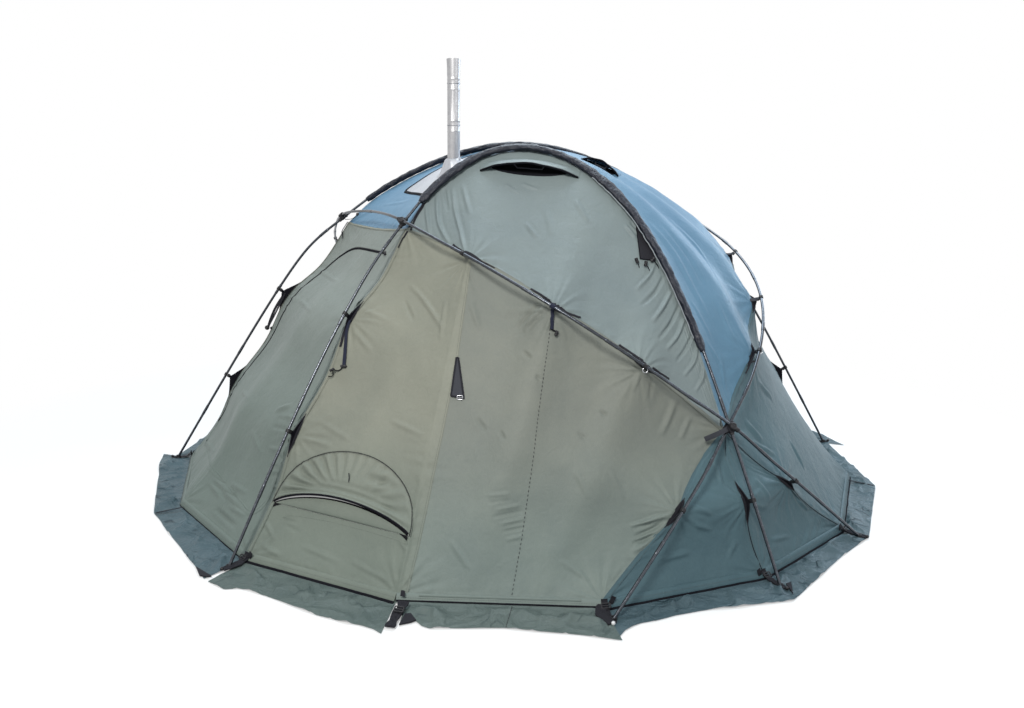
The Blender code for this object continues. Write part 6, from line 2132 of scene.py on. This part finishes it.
def makeFeet():
    feet = [("left", "centre", 0), ("frontLeft", "front", 0), ("frontRight", "left", -1),
            ("sideFront", "front", -1), ("side", "right", 0)]
    for name, key, end in feet:
        pole = poles[key]
        ordered = pole.points if end == 0 else pole.points[::-1]
        middle = np.array([np.interp(0.010, ordered[:60, 2], ordered[:60, k]) for k in range(3)])
        out = polar(cornerAzimuths[name], 1.0)
        across = polar(cornerAzimuths[name] + 90.0, 1.0)
        inner = floorRadius + fabricThickness / 2 + seatGap
        outer = footRadius + foot["tail"]
        web, hard, metal, pale = Bits(), Bits(), Bits(), Bits()
        profile = [(inner + 0.0022, 0.042), (inner + 0.0026, 0.038), (inner + 0.005, 0.033),
                   (inner + 0.016, 0.0240),
                   (inner + 0.034, 0.0150), (inner + 0.050, 0.0110), (outer - 0.006, 0.0090), (outer, 0.0085)]
        path = catmull(np.array([out * r + upright * z for r, z in profile]), 44)
        tangent = tangents(path)
        sweep(web, path, units(np.cross(across, tangent)) * -1, tapeSection(foot["strap"], 0.0020, -0.0018))
        # a short tab to the side with its buckle
        turn = 1 if name in ("frontLeft", "frontRight", "left") else -1
        tab = np.array([out * (inner + 0.007) + across * turn * (0.020 + 0.016 * t)
                        + upright * (0.018 + 0.034 * t)
                        for t in np.linspace(0, 1, 8)])
        sweep(web, tab, out, tapeSection(foot["tab"], 0.0020, -0.001))
        slope = unit(out - upright * 0.8)
        frameLoop(metal, out * (inner + 0.024) + upright * 0.0275, across, slope,
                  np.cross(across, slope) * -1, 0.034, 0.018, 0.0020)
        # moulded cup that takes the pole's tip
        lathe(hard, np.array([middle[0], middle[1], 0.0]), upright,
              [(0.0105, 0.0030), (0.0135, 0.0038), (0.0140, 0.0060), (0.0125, 0.0080), (0.0115, 0.0130),
               (0.0122, 0.0155),
               (0.0116, 0.0180), (0.0098, 0.0188), (0.0072, 0.0175), (0.0068, 0.0120)], 30)
        for k in range(5):
            a = k * math.pi * 0.4 + 0.2
            radial = np.array([math.cos(a), math.sin(a), 0.0])
            rib = np.array([np.array([middle[0], middle[1], z]) + radial * r for r,
                            z in ((0.0130, 0.0065), (0.0124, 0.010), (0.0120, 0.0145))])
            sweep(hard, rib, radial, barSection(0.0011, -0.001, 0.0010))
        ball(pale if name == "frontRight" else hard, out * (outer + 0.006) + upright * 0.0125, foot["ball"])
        spaced = "".join("_" + c.lower() if c.isupper() else c for c in name)
        pieces = [(web, "strap", "webbing"), (hard, "cup", "plastic"), (metal, "buckle", "plastic")]
        if pale.count:
            pieces.append((pale, "ball", "ball"))
        for bits, kind, look in pieces:
            made, other = bits.pair("foot_" + kind + "_" + spaced, look)
            if kind == "strap":
                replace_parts(made, "foot_anchor_" + spaced + "_front")
                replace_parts(other, "foot_anchor_" + spaced + "_rear")


makeGroundTrim()
makeCorners()
makeFeet()
print("ground trim")


# Camera, light and floor

def whiteRays(t):
    # 1 for the rays that see the backdrop: the camera's, and those by way of metal or glass
    path = t.add("ShaderNodeLightPath").outputs
    first = t.math("MAXIMUM", path["Is Camera Ray"], path["Is Glossy Ray"])
    return t.math("MAXIMUM", first, path["Is Transmission Ray"])


def makeStage():
    camera = bpy.data.cameras.new("camera")
    camera.lens = sight["focal"] / 1024 * 36
    camera.sensor_width = 36
    camera.clip_end = 60
    holder = bpy.data.objects.new("camera", camera)
    bpy.context.scene.collection.objects.link(holder)
    turn = Matrix((eyeRight, eyeTop, -eyeAhead)).transposed().to_4x4()
    turn.translation = Vector(eye)
    holder.matrix_world = turn
    bpy.context.scene.camera = holder

    material = bpy.data.materials.new("studio_floor")
    material.use_nodes = True
    t = Tree(material.node_tree)
    shader = material.node_tree.nodes["Principled BSDF"]
    place = t.add("ShaderNodeTexCoord").outputs["Object"]
    tone = t.span(t.noise(place, Scale=1.2, Detail=3.0), To_Min=0.80, To_Max=0.84)
    seen = whiteRays(t)
    # the floor looks pale but throws back little light
    colour = t.math("MULTIPLY", tone, t.span(seen, To_Min=0.40, To_Max=1.0))
    t.feed(shader, Base_Color=colour, Roughness=0.75, Specular_IOR_Level=0.2)
    away = t.add("ShaderNodeVectorMath", {"operation": "LENGTH"}, _0=place).outputs["Value"]
    bare = t.span(away, From_Min=2.1, From_Max=3.6, To_Min=0.35, To_Max=1.0)
    glow = t.add("ShaderNodeEmission", Color=(1, 1, 1, 1), Strength=1.0)
    mix = t.add("ShaderNodeMixShader", _0=t.math("MULTIPLY", bare, seen), _1=shader.outputs[0],
                _2=glow.outputs[0])
    t.feed(material.node_tree.nodes["Material Output"], Surface=mix.outputs[0])
    size = 40.0
    floor = linkMesh("studio_floor_plane", [(-size, -size, 0), (size, -size, 0), (size, size, 0),
                                            (-size, size, 0)], [(0, 1, 2, 3)], material, None, smooth=False)
    floor.location.z = -0.0005

    world = bpy.data.worlds.new("soft_sky")
    bpy.context.scene.world = world
    world.use_nodes = True
    t = Tree(world.node_tree)
    plain = world.node_tree.nodes["Background"]
    t.feed(plain, Color=(0.86, 0.93, 1.0, 1), Strength=0.48)
    white = t.add("ShaderNodeBackground", Color=(1, 1, 1, 1), Strength=1.0)
    mix = t.add("ShaderNodeMixShader", _0=whiteRays(t), _1=plain.outputs[0], _2=white.outputs[0])
    t.feed(world.node_tree.nodes["World Output"], Surface=mix.outputs[0])
    lamps = [("key", (-2.4, -6.0, 5.4), 2.0, 430, (1.0, 0.98, 0.94)),
             ("fill", (4.5, -5.0, 2.6), 3.0, 40, (0.95, 0.98, 1.0)),
             ("sky", (0.5, 2.0, 6.0), 4.5, 330, (0.78, 0.90, 1.0)),
             ("side", (5.5, 2.5, 3.4), 3.0, 130, (0.65, 0.82, 1.0))]
    for name, place, size, power, colour in lamps:
        lamp = bpy.data.lights.new(name, "AREA")
        lamp.shape = "DISK"
        lamp.size, lamp.energy, lamp.color = size, power, colour
        holder = bpy.data.objects.new(name, lamp)
        holder.location = place
        holder.rotation_mode = "QUATERNION"
        holder.rotation_quaternion = (Vector((0, 0, 0.8)) - Vector(place)).to_track_quat("-Z", "Y")
        bpy.context.scene.collection.objects.link(holder)
    bpy.context.scene.view_settings.view_transform = "Standard"


makeStage()
print("stage")
